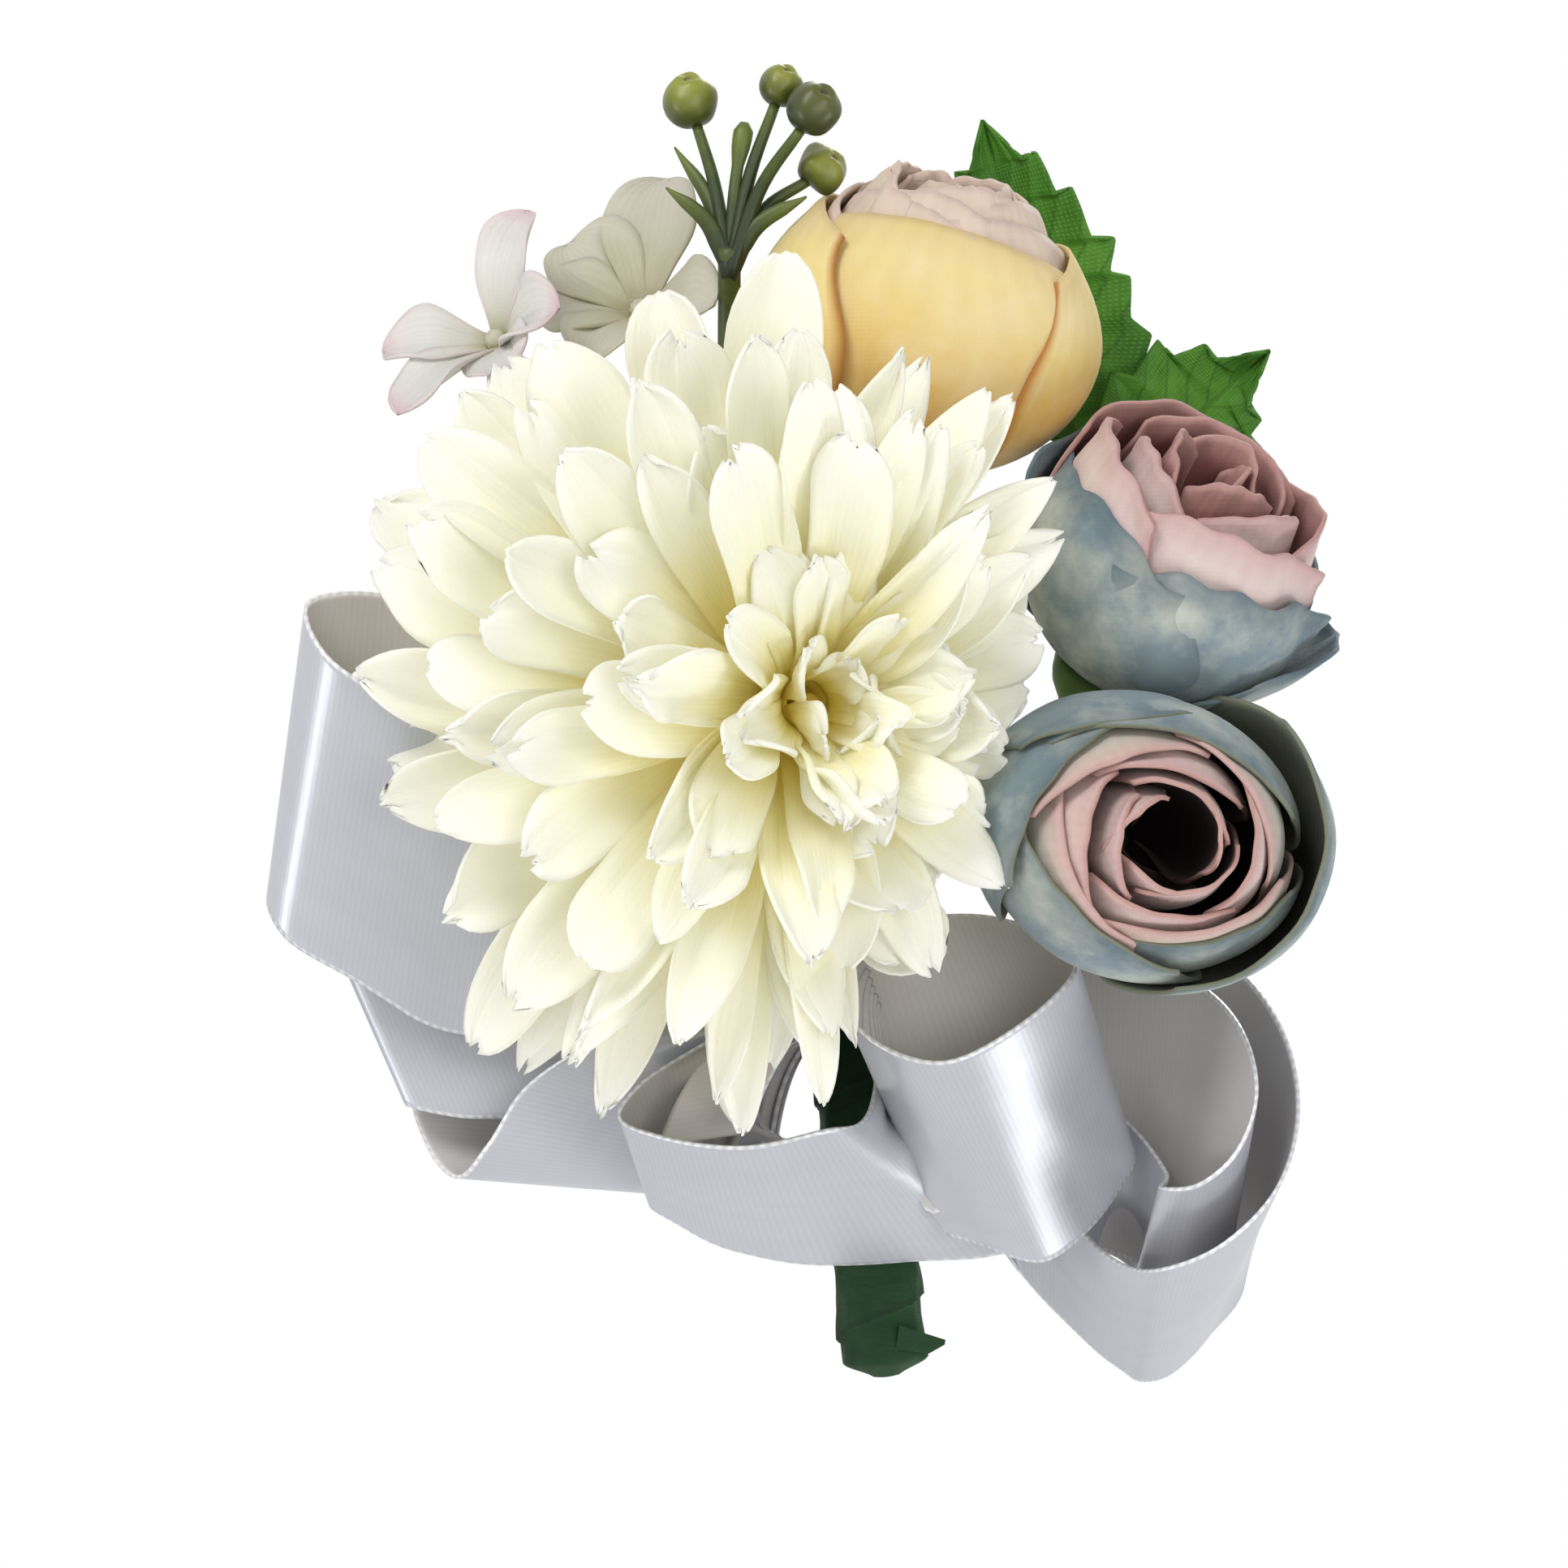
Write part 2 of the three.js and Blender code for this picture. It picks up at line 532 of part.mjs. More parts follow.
addPart(stemGroup, "stem_wrap", stemWrap(), TAPE_GREEN, 0.85);

// A point inside the stem: slot 0 is the middle wire, slots 1 to 6 lie round it
function stemPoint(slot, height) {
  const point = new THREE.Vector3(0, 0, height);
  if (slot > 0) {
    const angle = radians(60 * slot - 90);
    point.x = WIRE_PITCH * Math.cos(angle);
    point.y = WIRE_PITCH * Math.sin(angle);
  }
  return point.applyMatrix4(stemGroup.matrix);
}

// Wire from the foot of the stem through chosen points to its flower
function wireTo(slot, points) {
  const foot = [stemPoint(slot, -STEM_BOTTOM + WIRE_FLOOR), stemPoint(slot, STEM_TOP - WIRE_EXIT),
    stemPoint(slot, STEM_TOP + WIRE_EXIT)];
  return tube([...foot, ...points], WIRE_RADIUS, WIRE_STEPS);
}

// Die-cut petal layer round Z: an arc whose slope goes from one angle to another, measured from the axis
function layerArc({ length, root: slopeRoot, tip: slopeTip }, hole) {
  const from = radians(slopeRoot);
  const bend = radians(slopeTip - slopeRoot);
  return (run, lift = 0) => {
    const slope = from + (bend * run) / length;
    const reach = hole + (length / bend) * (Math.cos(from) - Math.cos(slope)) - lift * Math.cos(slope);
    const height = (length / bend) * (Math.sin(slope) - Math.sin(from)) + lift * Math.sin(slope);
    return [reach, height];
  };
}

// The layer as one piece: its petals start at the edge of the uncut middle
function petalLayer(spec, hole, disc, thickness, lengthAt) {
  const arc = layerArc(spec, hole);
  const up = new THREE.Vector3(0, 0, 1);
  const azimuthOf = (k) => (2 * Math.PI * (k + spec.turn)) / spec.petals;
  const petalPoint = (k, u, v, offset) => {
    const azimuth = azimuthOf(k);
    const run = disc + (spec.length * lengthAt(azimuth) - disc) * u;
    const fullness = Math.sin(Math.PI * (PETAL_ROOT_SHARE + PETAL_TIP_SHARE * u ** PETAL_FILL_POWER));
    const [reach, height] = arc(run, spec.cup * v * v * fullness * u + offset);
    return new THREE.Vector3(reach, (v * spec.width * fullness) / 2, height).applyAxisAngle(up, azimuth);
  };
  const middlePoint = (k, v, offset) => {
    const outer = petalPoint(k, 0, v, 0);
    const [reach, height] = arc(0, offset);
    return new THREE.Vector3(outer.x, outer.y, 0).setLength(reach).setZ(height);
  };
  return petalCrown({
    petals: spec.petals, rows: 3, columns: 2, thickness, holed: true, petalPoint, middlePoint,
  });
}

// Chrysanthemum petals are longer up and down than sideways, longer to the left than to the right,
// short where the lower rose and the front ribbon loop press in, and long in front of the yellow rose
function mumReach(azimuth) {
  let reach = 1 - MUM_TALL * Math.cos(2 * azimuth) - MUM_LEFT * Math.cos(azimuth);
  MUM_UNEVEN.forEach((part) => {
    const turn = azimuth - radians(part.atDeg);
    const offset = Math.atan2(Math.sin(turn), Math.cos(turn));
    reach += part.longer * Math.exp(-((offset / radians(part.spreadDeg)) ** 2));
  });
  return reach;
}

const MUM_HOLE_RADIUS = MUM_SPINDLE_RADIUS + MUM_SPINDLE_SLACK;
const mum = facing(MUM_PLACE, MUM_AXIS);
root.add(mum);
let layerGroup = mum;
MUM_LAYERS.forEach((layer, index) => {
  if (index > 0) {
    const next = new THREE.Group();
    next.position.set(layer.slide, 0, MUM_LAYER_PITCH);
    next.rotation.y = radians(MUM_LAYER_TURN_DEG);
    layerGroup.add(next);
    layerGroup = next;
  }
  const spec = { ...layer, turn: index / 2 };
  const ring = petalLayer(spec, MUM_HOLE_RADIUS, MUM_DISC_RADIUS, MUM_PETAL_THICK, mumReach);
  addPart(layerGroup, `mum_petals_${index + 1}`, ring, "#f4f2df", 0.75);
});

// Cup that holds a flower's foot, with a socket for its wire, its top face at Z = 0
function calyx(radius, height) {
  const socket = WIRE_RADIUS + SEAT_GAP;
  const neck = socket + CALYX_NECK_WALL;
  const shoulder = [radius * CALYX_SHOULDER_SHARE, -height * CALYX_SHOULDER_DROP];
  return lathe([[0, 0], [radius, 0], shoulder, [neck, -height], [socket, -height],
    [socket, -height + SOCKET_DEPTH], [0, -height + SOCKET_DEPTH]].reverse(), 12);
}

const mumBack = -MUM_PETAL_THICK / 2 - SEAT_GAP;
addPart(mum, "mum_calyx", calyx(MUM_CALYX_RADIUS, MUM_CALYX_HEIGHT).translate(0, 0, mumBack), "#4c6b2c", 0.6);

// The straight end of a wire: before a calyx, at its mouth and inside it
function socketPoints(group, calyxTop, height) {
  group.updateMatrix();
  const inside = calyxTop - height + SOCKET_DEPTH - SEAT_GAP;
  const stations = [-height - SOCKET_LEAD, -height].map((drop) => calyxTop + drop);
  return [...stations, inside].map((z) => new THREE.Vector3(0, 0, z).applyMatrix4(group.matrix));
}

const viaPoints = (wire) => wire.via.map(vector);
const STEM_GREEN = "#4a6a2d";
const mumSocket = socketPoints(mum, mumBack, MUM_CALYX_HEIGHT);
addPart(root, "mum_stem", wireTo(MUM_WIRE.slot, [...viaPoints(MUM_WIRE), ...mumSocket]), STEM_GREEN, 0.6);

// Spindle through the hubs, bent as the layers turn
function mumSpindle() {
  mum.updateMatrixWorld(true);
  const points = [new THREE.Vector3(0, 0, mumBack + SEAT_GAP)];
  let group = mum;
  for (let k = 0; k < MUM_LAYERS.length; k += 1) {
    points.push(mum.worldToLocal(group.localToWorld(new THREE.Vector3())));
    group = group.children.find((child) => child.isGroup) ?? group;
  }
  points.push(mum.worldToLocal(group.localToWorld(new THREE.Vector3(0, 0, MUM_SPINDLE_HEAD))));
  return tube(points, MUM_SPINDLE_RADIUS, 8, 8);
}

addPart(mum, "mum_spindle", mumSpindle(), "#a58a2c", 0.6);

// One ring of rose petals round Z on an ellipsoid, each petal's edge tucked under its neighbour
function budRing(bud, ring, index) {
  const lowest = radians(BUD_ROOT_DEG);
  const spread = radians(ring.spreadDeg);
  const inset = BUD_RING_PITCH * index;
  const lift = BUD_RING_LIFT * index;
  const petalPoint = (k, u, v, offset) => {
    const rim = radians(bud.rimsDeg[index] - BUD_RIM_DROP_DEG * v * v);
    const latitude = lowest + (rim - lowest) * u;
    const fullness = Math.sin((Math.PI / 2) * Math.min(1, BUD_FOOT_SHARE + BUD_FILL_RATE * u));
    const longitude = radians(ring.turnDeg + (360 * k) / ring.petals) + spread * v * fullness;
    const slide = BUD_SLIDE * v * u ** 0.5 - inset - offset;
    return new THREE.Vector3(
      (bud.wide + slide) * Math.cos(latitude) * Math.cos(longitude),
      (bud.deep + slide) * Math.cos(latitude) * Math.sin(longitude),
      (bud.half - offset) * Math.sin(latitude) + lift,
    );
  };
  const middlePoint = (k, v, offset) => new THREE.Vector3(0, 0, lift + offset - bud.half);
  return petalCrown({
    petals: ring.petals, rows: 3, columns: 4, thickness: BUD_PETAL_THICK, holed: false, petalPoint,
    middlePoint,
  });
}

ROSES.forEach((bud) => {
  const group = facing(bud.place, bud.axis);
  root.add(group);
  const calyxTop = -bud.half - BUD_PETAL_THICK / 2 - SEAT_GAP;
  BUD_RINGS.forEach((ring, index) => {
    const tint = index < bud.outsideRings ? bud.outside : bud.inside;
    addPart(group, `${bud.name}_${ring.part}`, budRing(bud, ring, index), tint, 0.75);
  });
  const cup = calyx(CALYX_RADIUS, CALYX_HEIGHT).translate(0, 0, calyxTop);
  addPart(group, `${bud.name}_calyx`, cup, "#5c7a3a", 0.6);
  const wire = ROSE_WIRES[bud.name];
  const ends = socketPoints(group, calyxTop, CALYX_HEIGHT);
  addPart(root, `${bud.name}_stem`, wireTo(wire.slot, [...viaPoints(wire), ...ends]), STEM_GREEN, 0.6);
});

// Serrated leaflet, folded a little along its midrib; its teeth point to the tip
function leaflet({ base, tip, half, teeth }) {
  const origin = vector(base);
  const run = vector(tip).sub(origin);
  const along = run.clone().normalize();
  const side = along.clone().cross(new THREE.Vector3(0, 1, 0)).normalize();
  const normal = side.clone().cross(along);
  const rows = 2 * teeth;
  return sheetSolid(rows, 2, LEAF_THICK, (u, v) => {
    const clamped = THREE.MathUtils.clamp(u, 0, 1);
    const tooth = Math.abs(Math.sin(Math.PI * clamped * teeth));
    const outline = Math.sin(Math.PI * (LEAF_BASE_SHARE + LEAF_TIP_SHARE * clamped ** LEAF_FILL_POWER));
    const reach = half * outline + LEAF_TOOTH * tooth;
    const lean = (LEAF_TOOTH_LEAN * tooth * Math.abs(v)) / teeth;
    return origin.clone()
      .addScaledVector(run, u + lean)
      .addScaledVector(side, v * reach)
      .addScaledVector(normal, LEAF_FOLD * (Math.abs(v) - Math.sin(Math.PI * clamped)));
  });
}

LEAVES.forEach((leaf) => addPart(root, leaf.name, leaflet(leaf), "#47852a", 0.8));
const leafRun = vector(LEAVES[0].tip).sub(vector(LEAVES[0].base)).normalize();
const leafEnd = vector(LEAVES[0].base).addScaledVector(leafRun, -LEAF_SEAT);
addPart(root, "leaf_stem", wireTo(LEAF_WIRE.slot, [...viaPoints(LEAF_WIRE), leafEnd]), STEM_GREEN, 0.6);

// Pointed spike from one point to another
function spike(from, to, radius) {
  const span = to.clone().sub(from);
  const cone = lathe([[0, 0], [radius, 0], [radius * BRACT_TIP_SHARE, span.length()], [0, span.length()]], 5);
  const up = new THREE.Vector3(0, 0, 1);
  cone.applyQuaternion(new THREE.Quaternion().setFromUnitVectors(up, span.normalize()));
  return cone.translate(from.x, from.y, from.z);
}

const berryJoin = vector(BERRY_JOIN);
const berryPieces = [wireTo(BERRY_WIRE.slot, [...viaPoints(BERRY_WIRE), berryJoin])];
BERRIES.forEach(({ name, place, radius }) => {
  const centre = vector(place);
  const towards = centre.clone().sub(berryJoin).normalize();
  const end = centre.clone().addScaledVector(towards, -radius - SEAT_GAP);
  const start = berryJoin.clone().addScaledVector(towards, -BERRY_BRANCH_RADIUS);
  berryPieces.push(tube([start, end], BERRY_BRANCH_RADIUS, 1, 5));
  const berry = new THREE.SphereGeometry(radius, 9, 6);
  addPart(root, name, berry.translate(...place), "#5f6a2c", 0.5);
});
BRACT_TIPS.forEach((tip) => berryPieces.push(spike(berryJoin, vector(tip), BERRY_BRANCH_RADIUS)));
addPart(root, "berry_stem", fuse(berryPieces), "#4d5f2a", 0.55);

// Blossoms, each on a branch of one thin stem
const blossomPieces = [];
BLOSSOMS.forEach((blossom, index) => {
  const group = facing(blossom.place, blossom.axis);
  root.add(group);
  const spec = { ...blossom, ...BLOSSOM_SHAPE };
  const ring = petalLayer(spec, BLOSSOM_HOLE_RADIUS, BLOSSOM_DISC_RADIUS, BLOSSOM_PETAL_THICK, () => 1);
  addPart(group, `${blossom.name}_petals`, ring, "#dedcd2", 0.75);
  const eye = new THREE.SphereGeometry(BLOSSOM_EYE_RADIUS, 8, 6);
  const eyeHeight = BLOSSOM_PETAL_THICK + SEAT_GAP + BLOSSOM_EYE_RADIUS;
  addPart(group, `${blossom.name}_eye`, eye.translate(0, 0, eyeHeight), "#b9b25a", 0.6);
  group.updateMatrix();
  const foot = new THREE.Vector3(0, 0, -BLOSSOM_PETAL_THICK - 2 * SEAT_GAP).applyMatrix4(group.matrix);
  const below = new THREE.Vector3(0, 0, -BLOSSOM_LEAD).applyMatrix4(group.matrix);
  const from = index === 0 ? viaPoints(BLOSSOM_WIRE) : [vector(BLOSSOM_WIRE.via.at(-1))];
  if (index === 0) blossomPieces.push(wireTo(BLOSSOM_WIRE.slot, [...from, below, foot]));
  else blossomPieces.push(tube([...from, below, foot], WIRE_RADIUS, 8));
});
addPart(root, "blossom_stem", fuse(blossomPieces), "#2c4a2e", 0.6);

// Ribbon
function ribbonLoop({ rim, across, pinch, width = RIBBON_WIDTH, tail = false }) {
  const edge = new THREE.CatmullRomCurve3(rim.map(vector), false, "centripetal");
  const direction = new THREE.CatmullRomCurve3(across.map(vector), false, "catmullrom");
  const length = edge.getLength();
  const steps = tail ? RIBBON_STEPS / 2 : RIBBON_STEPS;
  return sheetSolid(steps, 1, RIBBON_THICK, (u, v) => {
    const run = THREE.MathUtils.clamp(u, 0, 1);
    const fromKnot = length * (tail ? run : Math.min(run, 1 - run));
    const spread = THREE.MathUtils.smoothstep(fromKnot, 0, pinch);
    const reach = RIBBON_PINCHED + (width - RIBBON_PINCHED) * spread;
    const towards = direction.getPoint(run);
    const slope = edge.getTangentAt(run).multiplyScalar((u - run) * length);
    return edge.getPointAt(run).add(slope).addScaledVector(towards, (reach * (v + 1)) / 2);
  });
}

LOOPS.forEach((loop) => addPart(root, loop.name, ribbonLoop(loop), "#c9cad1", 0.35));

// Knot: the gathered middle of the bow, bound at its waist
const waist = KNOT_RADIUS - KNOT_WAIST;
const knotEnd = KNOT_RADIUS * KNOT_END_SHARE;
const knot = lathe([[0, -KNOT_HEIGHT / 2], [knotEnd, -KNOT_HEIGHT / 2], [KNOT_RADIUS, -KNOT_HEIGHT / 4],
  [waist, 0], [KNOT_RADIUS, KNOT_HEIGHT / 4], [knotEnd, KNOT_HEIGHT / 2], [0, KNOT_HEIGHT / 2]], 12);
const knotFront = -STEM_RADIUS - SEAT_GAP - KNOT_RADIUS;
addPart(stemGroup, "ribbon_knot", knot.translate(0, knotFront, KNOT_Z), "#bfc0c6", 0.45);

export default root;
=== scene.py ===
from math import atan2, cos, degrees, exp, pi, radians, sin

import bpy
import numpy as np
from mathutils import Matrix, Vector


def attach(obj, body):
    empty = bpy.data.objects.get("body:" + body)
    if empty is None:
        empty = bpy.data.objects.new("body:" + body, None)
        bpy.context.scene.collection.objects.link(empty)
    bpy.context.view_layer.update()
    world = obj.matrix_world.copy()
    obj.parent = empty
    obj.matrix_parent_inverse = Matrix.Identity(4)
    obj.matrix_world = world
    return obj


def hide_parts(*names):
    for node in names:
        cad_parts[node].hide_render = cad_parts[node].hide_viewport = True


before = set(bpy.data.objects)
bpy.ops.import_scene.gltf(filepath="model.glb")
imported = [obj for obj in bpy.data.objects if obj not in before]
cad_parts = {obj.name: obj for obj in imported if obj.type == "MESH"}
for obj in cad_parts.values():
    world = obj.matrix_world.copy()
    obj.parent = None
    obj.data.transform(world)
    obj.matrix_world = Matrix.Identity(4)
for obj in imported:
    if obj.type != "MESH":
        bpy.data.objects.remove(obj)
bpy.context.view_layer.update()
MM = 0.001
TURN = 2 * pi
# The shade across a closed ring is its angle over this, so that it ends under 1
SHADE_TURN = 6.3
chance = np.random.default_rng(11).uniform
scene = bpy.context.scene

# Camera, in millimetres: middle of the view, its width at the view plane, and the distance from there
VIEW_CENTRE = (-5.87, 22.27)
VIEW_WIDTH = 128.8
VIEW_PLANE = -20.0
VIEW_DISTANCE = 1400.0
SENSOR_WIDTH = 36.0
CLIP_NEAR, CLIP_FAR = 0.01, 20

cam_data = bpy.data.cameras.new("camera")
cam_data.sensor_width = SENSOR_WIDTH
cam_data.lens = SENSOR_WIDTH * VIEW_DISTANCE / VIEW_WIDTH
cam_data.clip_start = CLIP_NEAR
cam_data.clip_end = CLIP_FAR
cam = bpy.data.objects.new("camera", cam_data)
cam.location = (VIEW_CENTRE[0] * MM, (VIEW_PLANE - VIEW_DISTANCE) * MM, VIEW_CENTRE[1] * MM)
cam.rotation_euler = (pi / 2, 0, 0)
scene.collection.objects.link(cam)
bpy.context.scene.camera = cam
scene.view_settings.view_transform = "Standard"

# Soft lamps: name, place and aim in metres, diameter, watts
LAMPS = [
    ("key", (-0.45, -0.75, 0.75), (-0.005, -0.02, 0.03), 0.55, 5.9),
    ("fill", (0.4, -0.9, 0.06), (0, -0.02, 0.02), 0.5, 2.2),
    ("low_right", (0.5, -0.17, -0.33), (0.01, -0.02, 0), 0.22, 0.85),
    ("low_left", (-0.58, -0.18, -0.2), (-0.03, -0.02, 0.02), 0.22, 0.7),
    ("back", (0.2, 0.7, 0.5), (0, 0, 0.03), 0.5, 3.5)]
for name, place, aim, size, watts in LAMPS:
    light = bpy.data.lights.new(name, "AREA")
    light.shape = "DISK"
    light.size = size
    light.energy = watts
    lamp = bpy.data.objects.new(name, light)
    lamp.location = place
    lamp.rotation_euler = (Vector(aim) - Vector(place)).to_track_quat("-Z", "Y").to_euler()
    scene.collection.objects.link(lamp)


# Shading helpers
class Graph:
    """Nodes of a material or a world."""

    def __init__(self, owner):
        owner.use_nodes = True
        self.owner = owner
        self.tree = owner.node_tree
        self.shader = self.tree.nodes.get("Principled BSDF")

    def add(self, kind, props=None, **inputs):
        node = self.tree.nodes.new("ShaderNode" + kind)
        for key, value in (props or {}).items():
            setattr(node, key, value)
        return self.fill(node, **inputs)

    def fill(self, node, **inputs):
        """Sets or links inputs, each named by its socket, or by an underscore and the socket's number."""
        for key, value in inputs.items():
            socket = node.inputs[int(key[1:]) if key[0] == "_" else key.replace("_", " ")]
            if isinstance(value, bpy.types.NodeSocket):
                self.tree.links.new(value, socket)
            elif value is not None:
                socket.default_value = tint(value) if isinstance(value, str) else value
        return node

    def math(self, operation, a, b=0.0):
        return self.add("Math", {"operation": operation}, _0=a, _1=b).outputs[0]

    def times(self, a, b):
        return self.math("MULTIPLY", a, b)

    def spread(self, value, span, base):
        """A value times a span, added to a base."""
        return self.math("ADD", self.times(value, span), base)

    def from_middle(self, value):
        """How far a value lies from a half."""
        return self.math("ABSOLUTE", self.math("SUBTRACT", value, 0.5))

    def ramp(self, value, stops):
        node = self.add("ValToRGB", _0=value)
        ramp = node.color_ramp
        while len(ramp.elements) < len(stops):
            ramp.elements.new(0.5)
        for element, (place, colour) in zip(ramp.elements, stops.items()):
            element.position = place
            element.color = tint(colour) if isinstance(colour, str) else (colour, colour, colour, 1)
        return node.outputs[0]

    def mix(self, share, a, b, blend="MIX"):
        props = {"data_type": "RGBA", "blend_type": blend}
        return self.add("Mix", props, _0=share, _6=a, _7=b).outputs[2]

    def dye(self, colour, other, mask, share):
        """A colour dyed with another, by a mask and a share."""
        return self.mix(self.times(mask, share), colour, other)

    def shade(self):
        """The piece's own coordinates: along, across, and a number of each petal."""
        vector = self.add("Attribute", {"attribute_name": "shade"}).outputs["Vector"]
        return self.add("SeparateXYZ", _0=vector).outputs

    def place(self):
        return self.add("TexCoord").outputs["Object"]

    def vector(self, x, y=0.0, z=0.0):
        return self.add("CombineXYZ", X=x, Y=y, Z=z).outputs[0]

    def stretch(self, vector, by):
        return self.add("VectorMath", {"operation": "MULTIPLY"}, _0=vector, _1=by).outputs[0]

    def noise(self, vector, scale, detail=3.0, rough=0.5):
        return self.add("TexNoise", Vector=vector, Scale=scale, Detail=detail, Roughness=rough).outputs[0]

    def wave(self, vector, scale, distort=0.0, direction="X"):
        props = {"wave_type": "BANDS", "bands_direction": direction}
        return self.add("TexWave", props, Vector=vector, Scale=scale, Distortion=distort).outputs[1]

    def bump(self, *layers):
        """Normal from layers: height, strength, depth in millimetres."""
        normal = None
        for height, strength, depth in layers:
            node = self.add("Bump", Strength=strength, Distance=depth * MM, Height=height, Normal=normal)
            normal = node.outputs[0]
        return normal

    def finish(self, colour, roughness, normal=None, **more):
        self.fill(self.shader, Base_Color=colour, Roughness=roughness, Normal=normal, **more)
        return self.owner

    def mix_shader(self, share, other):
        """Mixes another shader with the material's own."""
        both = self.add("MixShader", _0=share, _1=self.shader.outputs[0], _2=other).outputs[0]
        self.tree.links.new(both, self.tree.nodes["Material Output"].inputs[0])

    def background_ray(self):
        """1 for rays that show the background: seen, mirrored or through glass."""
        ray = self.add("LightPath").outputs
        shown = ray["Is Camera Ray"]
        for more in ("Is Glossy Ray", "Is Transmission Ray"):
            shown = self.math("MAXIMUM", shown, ray[more])
        return shown


def paint(name):
    return Graph(bpy.data.materials.new(name))


def tint(code):
    """A hex colour as linear light."""
    parts = [int(code[k:k + 2], 16) / 255 for k in (1, 3, 5)]
    return tuple(p / 12.92 if p <= 0.04045 else ((p + 0.055) / 1.055) ** 2.4 for p in parts) + (1.0,)


# Kinds of material
PETAL_ROUGHNESS = 0.72
PETAL_WEAVE = 900
PETAL_VEINS = 3.9
RIBBON_RIBS = 60
SELVEDGE_LOOPS = 34
LEAF_WEAVE = 9.0
LEAF_VEINS = 8.0


def petal_cloth(name, along, edge=None, edge_from=0.4, rim_dye=1.0, mottle=None, scale=160,
                vein_share=0.05, glow=0.0):
    """Dyed flower cloth with pressed veins and a fine weave; edge and mottle are a colour and its share."""
    g = paint(name)
    run, across, luck = g.shade()
    place = g.place()
    blotch = g.noise(place, scale, detail=4.0, rough=0.6)
    colour = g.ramp(g.spread(g.math("SUBTRACT", blotch, 0.5), 0.18, run), along)
    if mottle:
        cloud = g.noise(place, scale * 0.6, detail=5.0, rough=0.65)
        colour = g.dye(colour, mottle[0], g.ramp(cloud, {0.42: 0, 0.68: 1}), mottle[1])
    if edge:
        side = g.ramp(g.from_middle(across), {edge_from: 0, 0.5: 1})
        tip = g.ramp(run, {0.86: 0, 1: rim_dye})
        colour = g.dye(colour, edge[0], g.math("MAXIMUM", side, tip), edge[1])
    veins = g.wave(g.vector(across, g.times(run, 0.12), luck), PETAL_VEINS, distort=2.2)
    colour = g.dye(colour, g.mix(1.0, colour, "#b9a98a", "MULTIPLY"), veins, vein_share)
    colour = g.dye(colour, g.mix(1.0, colour, "#dcd8b6", "MULTIPLY"), luck, 0.08)
    weave = g.times(g.wave(place, PETAL_WEAVE, 0.4, "X"), g.wave(place, PETAL_WEAVE, 0.4, "Z"))
    normal = g.bump((weave, 0.25, 0.05), (veins, 0.15, 0.15), (blotch, 0.3, 0.3))
    rough = g.spread(blotch, 0.12, PETAL_ROUGHNESS)
    g.finish(colour, rough, normal, Specular_IOR_Level=0.25, Sheen_Weight=0.15)
    # Light through the cloth, and a painted glow: the colour is also emitted, lifting shade in the crevices
    if glow:
        lit = g.mix(0.5, colour, "#fdfee0")
        g.mix_shader(glow, g.add("BsdfTranslucent", Color=lit, Normal=normal).outputs[0])
        g.fill(g.shader, Emission_Color=colour, Emission_Strength=glow / 3)
    return g.owner


def satin(name, light, dark, roughness, lustre):
    """Ribbon: fine cross ribs, silk lustre and a thin white looped selvedge."""
    g = paint(name)
    run, across, luck = g.shade()
    ribs = g.wave(g.vector(run), RIBBON_RIBS)
    streaks = g.noise(g.vector(g.times(run, 6.0), g.times(across, 14.0), luck), 1.0, detail=2.0)
    cloud = g.noise(g.place(), 110)
    colour = g.dye(light, dark, ribs, 0.2)
    colour = g.dye(colour, dark, streaks, 0.3)
    colour = g.dye(colour, dark, cloud, 0.2)
    loops = g.wave(g.vector(run), SELVEDGE_LOOPS, distort=0.4)
    band = g.ramp(g.from_middle(across), {0.484: 0, 0.492: 1})
    colour = g.mix(g.times(band, g.spread(loops, 0.5, 0.35)), colour, "#f4f4f6")
    normal = g.bump((ribs, 0.06, 0.04), (streaks, 0.1, 0.3), (g.times(band, loops), 0.3, 0.12))
    rough = g.spread(cloud, 0.1, roughness - 0.05)
    return g.finish(colour, rough, normal, Specular_IOR_Level=0.5 + 2 * lustre, Metallic=lustre)


def leaf_cloth():
    """Coarse green cloth with pressed veins that slant to the midrib."""
    g = paint("leaf_cloth")
    run, across, luck = g.shade()
    grid = g.vector(g.times(run, 3.6), across, luck)
    weave = g.times(g.wave(grid, LEAF_WEAVE, 0.6, "X"), g.wave(grid, LEAF_WEAVE, 0.6, "Y"))
    patch = g.noise(g.place(), 130, detail=4.0, rough=0.6)
    colour = g.ramp(patch, {0.3: "#295c12", 0.5: "#3f771d", 0.68: "#5a932e"})
    colour = g.dye(colour, "#6fa348", weave, 0.4)
    side = g.from_middle(across)
    slant = g.math("SUBTRACT", g.times(run, LEAF_VEINS), g.times(side, 5.0))
    vein = g.ramp(g.math("PINGPONG", slant, 0.5), {0: 1, 0.1: 0})
    lines = g.math("MAXIMUM", vein, g.ramp(side, {0: 1, 0.03: 0}))
    colour = g.dye(colour, "#1c4a0e", lines, 0.45)
    colour = g.mix(g.ramp(run, {0: 0.6, 0.35: 0}), colour, "#1d4f10")
    normal = g.bump((weave, 0.35, 0.12), (lines, -0.5, 0.25))
    return g.finish(colour, g.spread(patch, 0.2, 0.5), normal, Specular_IOR_Level=0.3)


